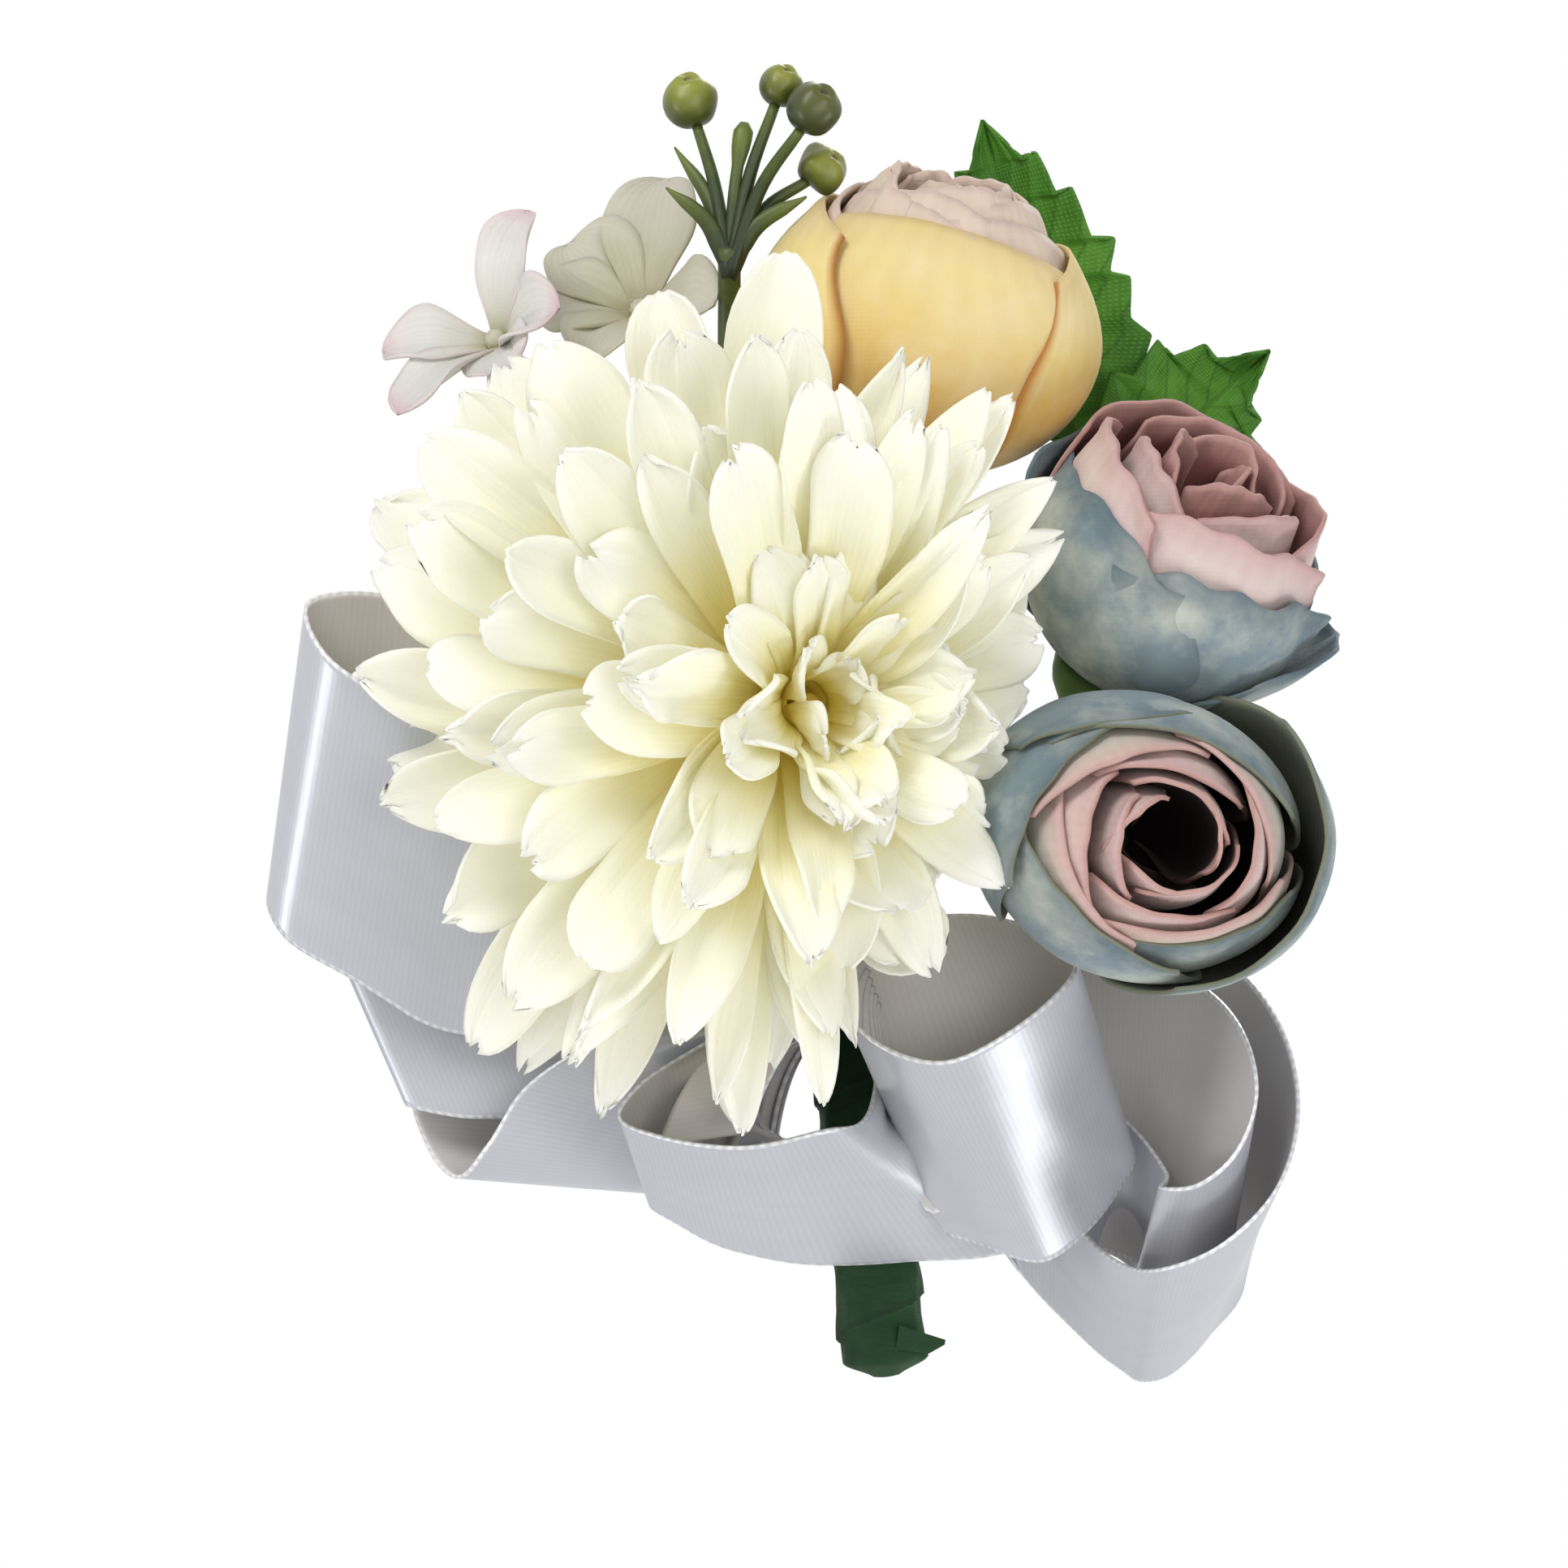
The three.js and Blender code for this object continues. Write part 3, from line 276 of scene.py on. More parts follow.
def moulded(name, low, high, tip, roughness, eye=None):
    """Moulded plastic greenery, coloured from foot to tip; on the berries with painted shade and light."""
    g = paint(name)
    run, _, luck = g.shade()
    patch = g.noise(g.place(), 420, detail=4.0, rough=0.6)
    painted = g.spread(g.math("SUBTRACT", patch, 0.5), 0.3, run)
    colour = g.ramp(painted, {0.15: low, 0.5: high, 0.85: tip})
    if eye:
        colour = g.mix(g.ramp(run, {0.94: 0, 0.975: 1}), colour, eye)
    colour = g.dye(colour, low, luck, 0.8)
    normal = g.bump((patch, 0.35, 0.2))
    return g.finish(colour, g.spread(patch, 0.2, roughness - 0.1), normal, Specular_IOR_Level=0.45)


def floral_tape(name, dark, light):
    """Crepe tape, darker along the edge of each lap."""
    g = paint(name)
    run = g.shade()[0]
    place = g.place()
    crepe = g.noise(g.stretch(place, (1.0, 1.0, 4.0)), 700, detail=5.0, rough=0.7)
    colour = g.ramp(g.noise(place, 150), {0.3: dark, 0.7: light})
    colour = g.dye(colour, dark, crepe, 0.4)
    colour = g.mix(g.ramp(run, {0: 0.75, 0.14: 0}), colour, "#0f2413")
    normal = g.bump((crepe, 0.6, 0.25))
    return g.finish(colour, g.spread(crepe, 0.2, 0.6), normal, Specular_IOR_Level=0.25)


def pin_metal():
    """Drawn steel with worn patches."""
    g = paint("pin_steel")
    place = g.place()
    brush = g.noise(g.stretch(place, (1.0, 1.0, 0.03)), 3500, rough=0.6)
    wear = g.noise(place, 260, detail=4.0, rough=0.6)
    colour = g.dye("#c9cbcf", "#8f9297", brush, 0.5)
    colour = g.mix(g.ramp(wear, {0.5: 0, 0.8: 0.5}), colour, "#7f8186")
    normal = g.bump((brush, 0.15, 0.05))
    return g.finish(colour, g.spread(brush, 0.18, 0.2), normal, Metallic=1.0)


# Shapes, in millimetres
CURVE_STEPS = 40
TUBE_END = 0.02
# A direction that no tube follows
TUBE_SIDE = [0.13, 0.97, 0.21]


def smooth(x, low, high):
    t = np.clip((x - low) / (high - low), 0, 1)
    return t * t * (3 - 2 * t)


def unit(v):
    v = np.asarray(v, float)
    return v / np.maximum(np.linalg.norm(v, axis=-1, keepdims=True), 1e-9)


def facing(axis):
    """Rotation that takes +Z to an axis by the shortest way."""
    return np.array(Vector((0, 0, 1)).rotation_difference(Vector(unit(axis))).to_matrix())


def about_y(angle):
    c, s = cos(angle), sin(angle)
    return np.array([[c, 0, s], [0, 1, 0], [-s, 0, c]])


def spin(points, angle):
    """Turns points about Z."""
    c, s = cos(angle), sin(angle)
    return points @ np.array([[c, s, 0], [-s, c, 0], [0, 0, 1]])


def xyz(x, y, z):
    return np.stack(np.broadcast_arrays(x, y, z), -1)


def around(radius, angle, height):
    """Points round Z."""
    return xyz(radius * np.cos(angle), radius * np.sin(angle), height)


def ring_angles(count):
    """Angles of points round a circle, as one row."""
    return np.arange(count)[None] / count * TURN


def globe(rows, cols):
    """Latitudes, longitudes, and the share of the way up, of a globe's points."""
    latitude = np.linspace(-pi / 2, pi / 2, rows)[:, None]
    return latitude, ring_angles(cols), (latitude + pi / 2) / pi


def hermite(b, c, m, n, w):
    """Cubic from b to c with the slopes m and n at its ends."""
    return b + m * w + (3 * (c - b) - 2 * m - n) * w ** 2 + (2 * (b - c) + m + n) * w ** 3


def shares(count):
    return np.linspace(0, 1, count)


def along_line(points, at):
    """Points at shares of a line's length, and that length."""
    run = np.concatenate([[0], np.cumsum(np.linalg.norm(np.diff(points, axis=0), axis=1))])
    return np.stack([np.interp(at * run[-1], run, values) for values in points.T], -1), run[-1]


def curve(points, count):
    """Centripetal Catmull-Rom through the points, in equal steps, and its length."""
    p = np.asarray(points, float)
    p = np.vstack([2 * p[0] - p[1], p, 2 * p[-1] - p[-2]])
    dense = []
    for a, b, c, d in zip(p, p[1:], p[2:], p[3:]):
        t0, t1, t2 = (max(np.linalg.norm(x - y), 1e-4) ** 0.5 for x, y in ((a, b), (b, c), (c, d)))
        m = t1 * ((b - a) / t0 - (c - a) / (t0 + t1) + (c - b) / t1)
        n = t1 * ((c - b) / t1 - (d - b) / (t1 + t2) + (d - c) / t2)
        dense += [hermite(b, c, m, n, w) for w in np.arange(CURVE_STEPS) / CURVE_STEPS]
    return along_line(np.array(dense + [p[-2]]), shares(count))


def blend_through(points, at):
    """Even Catmull-Rom through the points."""
    p = np.asarray(points, float)
    place = np.asarray(at) * (len(p) - 1)
    k = np.minimum(place.astype(int), len(p) - 2)
    a, b, c, d = p[np.maximum(k - 1, 0)], p[k], p[k + 1], p[np.minimum(k + 2, len(p) - 1)]
    return hermite(b, c, (c - a) / 2, (d - b) / 2, (place - k)[:, None])


class Piece:
    """Collects surfaces and makes one object of them."""

    def __init__(self):
        self.points, self.faces, self.shade, self.count = [], [], [], 0

    def grid(self, points, along, across=None, luck=0.0, closed=False):
        """Adds a surface and its shade. With no shade across it closes round."""
        rows, cols = points.shape[:2]
        if across is None:
            across, closed = ring_angles(cols) / SHADE_TURN, True
        index = np.arange(rows * cols).reshape(rows, cols) + self.count
        if closed:
            index = np.hstack([index, index[:, :1]])
        quads = np.stack([index[:-1, :-1], index[1:, :-1], index[1:, 1:], index[:-1, 1:]], -1)
        one = np.ones((rows, cols))
        self.points.append(points.reshape(-1, 3))
        self.shade.append(np.stack([along * one, across * one, luck * one, one], -1).reshape(-1, 4))
        self.faces.append(quads.reshape(-1, 4))
        self.count += rows * cols
        return self

    def tube(self, path, radius, sides=12, luck=0.0, run=(0, 1), flat=1.0):
        """Round bar along a path; its ends close to a point."""
        path = np.asarray(path, float)
        radius = np.broadcast_to(radius, len(path))
        ahead = unit(np.gradient(path, axis=0))
        side = unit(np.cross(ahead, TUBE_SIDE))
        over = np.cross(ahead, side)
        radius = np.concatenate([[radius[0] * TUBE_END], radius, [radius[-1] * TUBE_END]])
        path, side, over = (np.vstack([a[:1], a, a[-1:]])[:, None] for a in (path, side, over))
        turn = ring_angles(sides)
        ring = side * np.cos(turn)[..., None] + over * np.sin(turn)[..., None] * flat
        along = np.linspace(*run, len(path))[:, None]
        return self.grid(path + ring * radius[:, None, None], along, luck=luck)

    def petal(self, turn, turned, place, *size, **form):
        """Adds a petal, turned about Z and put in its place."""
        shape, u, v = petal(*size, **form)
        self.grid(spin(shape, turn) @ turned.T + place, u, v, chance())

    def make(self, name, material, slot, thick=0.0, inside=None):
        """The object, which stands for the CAD node of this name."""
        mesh = bpy.data.meshes.new(name)
        mesh.from_pydata((np.vstack(self.points) * MM).tolist(), [], np.vstack(self.faces).tolist())
        layer = mesh.attributes.new("shade", "FLOAT_COLOR", "POINT")
        layer.data.foreach_set("color", np.vstack(self.shade).astype(np.float32).ravel())
        mesh.polygons.foreach_set("use_smooth", np.ones(len(mesh.polygons), bool))
        mesh.materials.append(material)
        made = bpy.data.objects.new(f"{name}_look", mesh)
        scene.collection.objects.link(made)
        if thick:
            solid = made.modifiers.new("thickness", "SOLIDIFY")
            solid.thickness = thick * MM
            solid.offset = 0.0
            if inside:
                mesh.materials.append(inside)
                solid.material_offset = 1
        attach(made, "brooch")
        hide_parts(name)
        return made


def petal(length, width, root, tip, cup, groove, narrow, wide_at, point, wave, curl, bend, start, phase,
          twist=0.0, ragged=0.0, crumple=0.0, blunt=1.0, rows=18, cols=15):
    """Strap petal in the XZ plane: its slope from +Z goes from root to tip; cupped to the axis."""
    t = shares(rows)[:, None]
    # Rows lie closer together towards the tip
    u = 0.35 * t + 0.65 * np.sin(t * pi / 2)
    v = np.linspace(-1, 1, cols)[None]
    slope = root + (tip - root) * u + curl * smooth(u, 0.6, 1.0)
    step = length * np.diff(u, axis=0)
    ahead = (slope[1:] + slope[:-1]) / 2
    reach = start[0] + np.vstack([[[0.0]], np.cumsum(np.sin(ahead) * step, 0)])
    height = start[1] + np.vstack([[[0.0]], np.cumsum(np.cos(ahead) * step, 0)])
    # Outline: from the narrow foot to the widest place, then round to the tip
    body = narrow + (1 - narrow) * smooth(u, 0.0, wide_at)
    end = np.clip((u - wide_at) / (1 - wide_at), 0, 1)
    full = body * np.maximum(1 - blunt * end ** 2, 0.0) ** point
    half = width / 2 * full
    # Lift off the middle surface: cup, three grooves, wavy edges, twist, then two sizes of crumple
    ridges = np.exp(-((np.abs(v) - 0.38) / 0.15) ** 2) + 0.7 * np.exp(-(v / 0.12) ** 2)
    lift = cup * v ** 2 * full - groove * ridges * full * smooth(u, 0.0, 0.3)
    ripple = wave * np.sin(7 * u + phase + 2.5 * np.sign(v))
    lift += ripple * np.abs(v) ** 3 * full * smooth(u, 0.25, 0.8)
    lift += twist * u * v * half
    lift += crumple * np.sin(5 * u + 2 * phase) * np.cos(2.6 * v + phase) * full * smooth(u, 0.15, 0.5)
    lift += crumple * 0.6 * np.sin(11 * u - phase + 3 * v) * full * smooth(u, 0.3, 0.7)
    # Torn tip: its edge falls short by a share that changes across the petal
    tooth = 0.5 + 0.3 * np.sin(3 * v + phase) + 0.2 * np.sin(8 * v + 2 * phase)
    torn = -ragged * tooth * smooth(u, 0.72, 1.0)
    x = reach - lift * np.cos(slope) + torn * np.sin(slope)
    z = height + lift * np.sin(slope) + torn * np.cos(slope)
    return xyz(x, v * half + bend * u ** 2, z), u, (v + 1) / 2


# Materials
# Ivory: yellow deepening to the root is partly dye, partly painted shade among the petals; the glow is
# painted light
IVORY = petal_cloth(
    "ivory_petals", {0: "#dac234", 0.2: "#eedf72", 0.46: "#f8f1c0", 0.7: "#fdfcec", 1: "#fffffd"},
    mottle=("#fdfcee", 0.35), glow=0.24, vein_share=0.04)
APRICOT = petal_cloth(
    "apricot_petals", {0: "#c08128", 0.35: "#d8a648", 0.6: "#e6c468", 0.8: "#ead27c", 1: "#eedb94"},
    edge=("#b06c1c", 0.9), edge_from=0.46, rim_dye=0.25, mottle=("#f2e0b8", 0.75), scale=90)
BLUE = petal_cloth(
    "blue_petals", {0: "#343d38", 0.25: "#56635f", 0.5: "#87979c", 0.78: "#8799a2", 1: "#728690"},
    edge=("#566872", 0.6), mottle=("#cdd0c4", 0.85), scale=190)
OLIVE = petal_cloth(
    "olive_petals", {0: "#14160f", 0.5: "#32362a", 0.8: "#575b48", 1: "#757a66"},
    edge=("#8b9080", 0.5), mottle=("#666a52", 0.4))
CLOUD = petal_cloth(
    "cloud_petals", {0: "#5d6a66", 0.5: "#93a19f", 0.75: "#bdc0b4", 1: "#d9cdc2"},
    edge=("#c99a98", 0.7), mottle=("#d9d3c4", 0.6), scale=120)
PINK = petal_cloth(
    "pink_petals", {0: "#80504b", 0.4: "#b89592", 0.66: "#d4bbb9", 1: "#e6d2cf"},
    edge=("#b87f80", 0.6), mottle=("#e9ddd2", 0.7), scale=220)
MAUVE = petal_cloth(
    "mauve_petals", {0: "#2e1110", 0.5: "#633330", 0.82: "#8f5b58", 1: "#b48782"},
    edge=("#cba29c", 0.5), mottle=("#a8746c", 0.5))
BLUSH = petal_cloth(
    "blush_petals", {0: "#b98559", 0.45: "#c4a37e", 0.75: "#d0bca4", 1: "#dccbbb"},
    edge=("#d8b8b0", 0.45), mottle=("#e9dcc8", 0.6))
# Near black towards the foot is painted shade of the lower rose's deep heart; pink towards the rim
HEART = petal_cloth(
    "heart_pink_and_shade", {0: "#140504", 0.6: "#2a0f0c", 0.86: "#5c302a", 1: "#c39a92"},
    edge=("#caa49c", 0.5))
WHITE = petal_cloth(
    "blossom_petals", {0: "#b4b08a", 0.2: "#cfcdbf", 0.6: "#dededa", 0.86: "#dfd8d6", 1: "#d8bdc4"},
    edge=("#d9c4c8", 0.35), mottle=("#e9e8e0", 0.35))
GREY_WHITE = petal_cloth(
    "grey_blossom_petals", {0: "#8a7d4c", 0.25: "#b9b496", 0.6: "#cbc9b6", 1: "#d2cfc2"},
    edge=("#bdb8a4", 0.3), mottle=("#d6d3c4", 0.4))
SATIN = satin("satin_face", "#c3c5cc", "#a3a5ad", roughness=0.32, lustre=0.2)
SATIN_BACK = satin("satin_back", "#d2cecc", "#bbb7b6", roughness=0.6, lustre=0.0)
LEAF = leaf_cloth()
# Berries: olive green, with painted shade, near black, at the foot and painted light, yellow, at the pole
BERRY = moulded("berry", "#18220f", "#505b1b", "#94993a", 0.36, eye="#6b5f24")
SPRAY = moulded("berry_stem", "#1b2410", "#313e16", "#68742c", 0.45)
DARK = moulded("dark_stem", "#182a20", "#243c28", "#3a5430", 0.55)
WIRE = floral_tape("wired_stem", "#35501f", "#557538")
CALYX = moulded("calyx", "#3c5a24", "#55762f", "#7c9646", 0.6)
CORE = moulded("spindle", "#5c4716", "#8f7424", "#b99c3c", 0.6)
EYE = moulded("blossom_eye", "#a7a27c", "#c2bea0", "#d3d0bb", 0.7)
TAPE = floral_tape("floral_tape", "#122b17", "#28502c")
STEEL = pin_metal()

# Thickness of large petals, of the other cloth, and of the folded strip
PETAL_THICK = 0.35
CLOTH_THICK = 0.3
STRIP_THICK = 0.25

# Chrysanthemum: each layer is a disc round the spindle with petals on it
MUM_PLACE = np.array([-8.8, -20, 29])
MUM_AXIS = [-0.1, -0.99, -0.07]
MUM_HOLE = 1.7
MUM_DISC = 7
MUM_INNER_DISC = 2.5
MUM_PITCH = 1.6
MUM_TURN = radians(6)
# Petals start this far up the disc, every other one a little higher
MUM_FOOT = 2
MUM_STAGGER = 0.25
# Azimuth to which the inner petals sweep
MUM_SWEEP = radians(115)
# Each layer: petals, length, width, slope at root and tip, step to the right of the layer behind
MUM_LAYERS = [
    (25, 31.5, 7.2, 64, 87, 0), (25, 31, 7.2, 54, 76, 1.2), (23, 29, 7, 44, 65, 1.1),
    (19, 26.5, 6.8, 34, 53, 0.6), (14, 23, 6.2, 23, 40, 0.2), (9, 18, 5.2, 10, 25, 0)]
# Innermost petals, which lean up and left over the heart: azimuth, length, width, slope at tip, twist, bend
MUM_HEART = [
    (100, 17, 5, 58, 0.2, 1), (122, 18, 5.4, 66, -0.2, -1), (78, 16, 4.8, 58, 0.4, 2),
    (145, 17.5, 5.6, 64, 0.1, 0), (170, 15, 5.6, 57, -0.5, 2), (200, 14, 5, 52, 0.6, -2),
    (42, 13, 4.6, 38, 0.9, 2), (8, 12.5, 4.6, 44, -1, -2), (-30, 13, 4.8, 48, 1, 2),
    (-70, 12.5, 4.6, 44, -0.8, -1.5), (-112, 13.5, 5, 50, 0.6, 1), (-12, 8.5, 4.4, 20, 0.9, 0.6),
    (62, 8, 4.2, 16, -0.6, 0.4), (128, 10, 4.6, 30, 0.4, -0.6), (222, 9, 4.6, 20, -0.8, 0.6)]
# Long narrow petals that hang below the rest: layer, azimuth, length, width
MUM_HANGING = [
    (1, -82, 30, 4.6), (2, -93, 35.5, 4.8), (1, -101, 33, 5), (2, -110, 35, 4.6), (1, -117, 34, 5.2),
    (2, -126, 34.5, 5), (2, -60, 27, 6.2), (3, -52, 25, 6.6)]
# Where petals are longer or shorter: azimuth, by which share, how wide in degrees
MUM_LONGER = ((-34, -0.29, 32), (-76, -0.26, 17), (54, 0.1, 24))


def mum_reach(azimuth):
    """Share of a layer's length: shorter where the neighbours press in."""
    reach = 1 - 0.12 * cos(2 * azimuth) - 0.07 * cos(azimuth)
    for at, longer, wide in MUM_LONGER:
        turn = azimuth - radians(at)
        offset = atan2(sin(turn), cos(turn))
        reach += longer * exp(-(offset / radians(wide)) ** 2)
    return reach


def mum_stations():
    """Centre and rotation of each layer, along the bent spindle."""
    turned, hub = facing(MUM_AXIS), MUM_PLACE
    for k, (*_, slide) in enumerate(MUM_LAYERS):
        if k:
            hub = hub + turned @ [slide, 0, MUM_PITCH]
            turned = turned @ about_y(MUM_TURN)
        yield hub, turned


for k, (hub, turned) in enumerate(mum_stations()):
    petals, length, width, root, tip, _ = MUM_LAYERS[k]
    innermost = k == len(MUM_LAYERS) - 1
    layer = Piece()
    run = np.linspace(0, MUM_INNER_DISC if innermost else MUM_DISC, 5)[:, None]
    reach, up = MUM_HOLE + run * sin(radians(root)), run * cos(radians(root))
    disc = around(reach, ring_angles(64), up)
    layer.grid(disc @ turned.T + hub, np.linspace(0, 0.05, 5)[:, None], luck=0.5)
    rank = [(degrees((i + k / 2 + chance(-0.55, 0.55)) * TURN / petals), 0, width)
            for i in range(0 if innermost else petals)]
    rank += [hanging for on, *hanging in MUM_HANGING if on == k]
    for i, (azimuth, long, wide) in enumerate(rank):
        azimuth = (azimuth + 180) % 360 - 180
        turn = radians(azimuth)
        swept = cos(turn - MUM_SWEEP)
        pressed = k >= 2 and -70 < azimuth < 5 and not long
        slim = long > 0 or 15 < azimuth < 72 or -130 < azimuth < -78
        sweep = 0 if long else max(0, k - 2) * 12 * swept
        rise = radians(max(4, root + sweep / 2 + chance(-5, 5)))
        lay = radians(max(6, (86 if long else tip + sweep + chance(-9, 10)) - 12 * pressed))
        long = long or length * mum_reach(turn) * chance(0.95 if k < 2 else 0.88, 1.11)
        if k > 3:
            long = long * (1 + 0.25 * max(0, swept))
        lift = MUM_STAGGER if i % 2 else -MUM_STAGGER
        wide = wide * chance(0.78, 1.16) * (0.84 if slim else 1)
        layer.petal(
            turn, turned, hub, long - MUM_FOOT, wide, rise, lay,
            cup=chance(0.2, 1.2), groove=chance(0.15, 0.4), narrow=0.55,
            wide_at=chance(0.58, 0.7) if slim else chance(0.74, 0.86),
            point=chance(0.6, 0.85) if slim else chance(0.45, 0.65),
            wave=chance(0.4, 1.3), curl=chance(-0.25, 0.55),
            twist=chance(-0.5, 0.5) * (1.8 if pressed else 1), bend=chance(-3.9, 3.9),
            ragged=chance(0.3, 2.4), crumple=0.5, blunt=0.94,
            start=(MUM_HOLE + MUM_FOOT * sin(rise), MUM_FOOT * cos(rise) + lift),
            phase=chance(0, 6))
    for azimuth, long, wide, lay, twist, bend in MUM_HEART if innermost else []:
        rise = radians(max(6, lay * 0.4))
        layer.petal(
            radians(azimuth), turned, hub, long, wide, rise, radians(lay), cup=0.9, groove=0.3, narrow=0.6,
            wide_at=0.74, point=0.5, wave=0.8, curl=chance(-0.3, 0.5), twist=twist, bend=bend,
            ragged=1.2, crumple=0.35, blunt=0.95,
            start=(MUM_HOLE + MUM_FOOT * sin(rise), MUM_FOOT * cos(rise)), phase=chance(0, 6))
    layer.make(f"mum_petals_{k + 1}", IVORY, "ivory_petals", thick=PETAL_THICK)

# Roses: petals of four rings lie on nested egg shapes. Name, place, axis, half width, half depth, half height
ROSES = [("yellow_rose", [5.7, -14.8, 60.3], [0.22, -0.14, 0.965], 14, 10.8, 12.4),
         ("upper_blue_rose", [25.9, -17.6, 41], [0.43, -0.43, 0.79], 12.8, 12.8, 12),
         ("lower_blue_rose", [23.6, -27, 17.8], [0.2, -0.97, -0.03], 14.2, 11.8, 12.2)]
RINGS = ("outer_petals", "middle_petals", "inner_petals", "heart")
# Latitude of a petal's foot, how far each ring lies inside the one before, and how much higher
ROSE_FOOT = -76
RING_INSET = 2.8
RING_RISE = 0.8
# For each ring: cloth outside and inside, slot, and how its rims lean in, frill and stand upright. Then its
# petals: turn, half spread, rim latitude, step inward, and where the rim isn't the ring's, how it is
PETALS = {}
PETALS["yellow_rose"] = [
    (APRICOT, APRICOT, "apricot_petals", (0.9, 0.3, 0),
     [(14, 58, 43, -0.9), (-96, 84, 46, 0.5, 0.8), (-192, 70, 43, 0, 0.7), (90, 80, 46, 0.6, 0.5)]),
    (BLUSH, BLUSH, "pink_petals", (0.3, 0.6, 0.05),
     [(-55, 66, 49, 0), (-130, 66, 50, 0.5), (150, 66, 47, 0), (40, 66, 48, 0.5)]),
    (BLUSH, BLUSH, "pink_petals", (0, 1.2, 0.05),
     [(-30, 66, 54, -1.2), (-105, 62, 51, -0.9), (-170, 62, 55, -0.8, 0, 2), (40, 66, 56, -1.3, 0, 1.5),
      (110, 66, 54, -0.9, 0, 2)]),
    (BLUSH, BLUSH, "pink_petals", (0, 1.5, 0.1),
     [(-70, 70, 53, -2.2, 0.2), (50, 70, 54, -1.8, 0.2), (170, 70, 55, -2, 0.2, 2), (0, 66, 54, -0.6),
      (120, 70, 52, 0.4), (-110, 80, 50, 1.6), (60, 80, 48, 2.6)])]
PETALS["upper_blue_rose"] = [
    (BLUE, BLUE, "blue_petals", (0.2, 3, 0),
     [(-62, 66, 22, 0), (-140, 70, 25, 0.5), (120, 72, 24, 0, 0.2, 2), (30, 66, 20, 0.5),
      (-8, 44, 0, -1.5, -0.9, 1.5)]),
    (PINK, MAUVE, "pink_petals", (0, 1.5, 0.5),
     [(-75, 66, 40, -1.2, 0, 2), (-160, 60, 42, -0.9), (105, 74, 41, -1.1, 0, 1.5, 0.45),
      (10, 56, 40, -0.8)]),
    (PINK, MAUVE, "pink_petals", (0.3, 1.2, 0.4),
     [(-40, 62, 40, -0.9), (-150, 58, 41, -0.6), (80, 70, 43, -0.9, 0.2)]),
    (MAUVE, MAUVE, "pink_petals", (0.3, 1, 0.35),
     [(-60, 74, 39, -0.4), (70, 74, 42, -0.2), (175, 66, 41, -0.4), (20, 66, 38, 1.6, 0.3, 0.8, 0.3)])]
PETALS["lower_blue_rose"] = [
    (BLUE, OLIVE, "blue_petals", (0.9, 0.6, 0),
     [(85, 70, 36, 0.3), (160, 62, 36, 0), (235, 62, 37, 0.4), (300, 58, 36, 0.9),
      (-8, 76, 33, -1, -0.6), (120, 40, 30, -0.4)]),
    (CLOUD, CLOUD, "blue_petals", (1, 0.4, 0.05),
     [(40, 62, 39, -0.3), (128, 62, 40, -0.6), (215, 62, 39, -0.3), (300, 62, 40, -0.6)]),
    # Inside the inner rings: painted shade of the deep heart, near black towards the foot
    (PINK, HEART, "pink_petals", (0.9, 0.4, 0.05),
     [(0, 62, 42, -1.3), (92, 62, 41, -0.8), (185, 62, 42, -1.3), (272, 62, 41, -0.8)]),
    (PINK, HEART, "pink_petals", (0.5, 0.4, 0.1),
     [(70, 70, 42, -0.6), (190, 70, 43, -0.4), (310, 70, 42, -0.6), (20, 60, 43, 0.4, 0.3),
      (150, 60, 43, 0.5, 0.3), (260, 60, 43, 0.4, 0.3)])]

u = shares(26)[:, None]
v = np.linspace(-1, 1, 29)[None]
for name, place, axis, wide, deep, half in ROSES:
    turned = facing(axis)
    for k, (outside, inside, slot, common, petals) in enumerate(PETALS[name]):
        ring = Piece()
        deeper = deep + (wide - deep) * k / len(RINGS)
        for turn, spread, rim, inset, *own in petals:
            lean, frill, upright = (*own, *common[len(own):])
            phase = chance(0, 6)
            top = rim - 13 * v ** 2 + frill * (0.6 * np.sin(6 * v + phase) + 0.5 * np.sin(13 * v + 2 * phase))
            latitude = np.radians(ROSE_FOOT + (top - ROSE_FOOT) * u)
            fullness = np.sin(pi * np.minimum(0.5, 0.16 + 0.6 * u)) * (1 - 0.22 * smooth(u, 0.6, 1.0))
            longitude = np.radians(turn + 1.1 * spread * v * fullness)
            # Off the egg shape: one side over the next petal, the rim in or out, a rolled rim, then frills
            swell = 0.65 * v * u ** 0.5 - RING_INSET * k - inset - lean * smooth(u, 0.62, 1.0)
            swell += 0.45 * smooth(u, 0.9, 1.0) * (0.6 + 0.4 * np.sin(4.2 * v + phase))
            swell += 0.2 * min(1, frill / 2) * np.sin(8 * v + phase + 2 * u) * u
            swell += 0.12 * frill * np.sin(11 * v + phase) * smooth(u, 0.7, 1)
            round_in = np.cos(latitude) + upright * (1 - np.cos(latitude)) * (latitude > 0)
            points = xyz((wide + swell) * round_in * np.cos(longitude),
                         (deeper + swell) * round_in * np.sin(longitude),
                         half * np.sin(latitude) + RING_RISE * k)
            ring.grid(points @ turned.T + place, u, (v + 1) / 2, chance())
        ring.make(f"{name}_{RINGS[k]}", inside, slot, thick=PETAL_THICK, inside=outside)

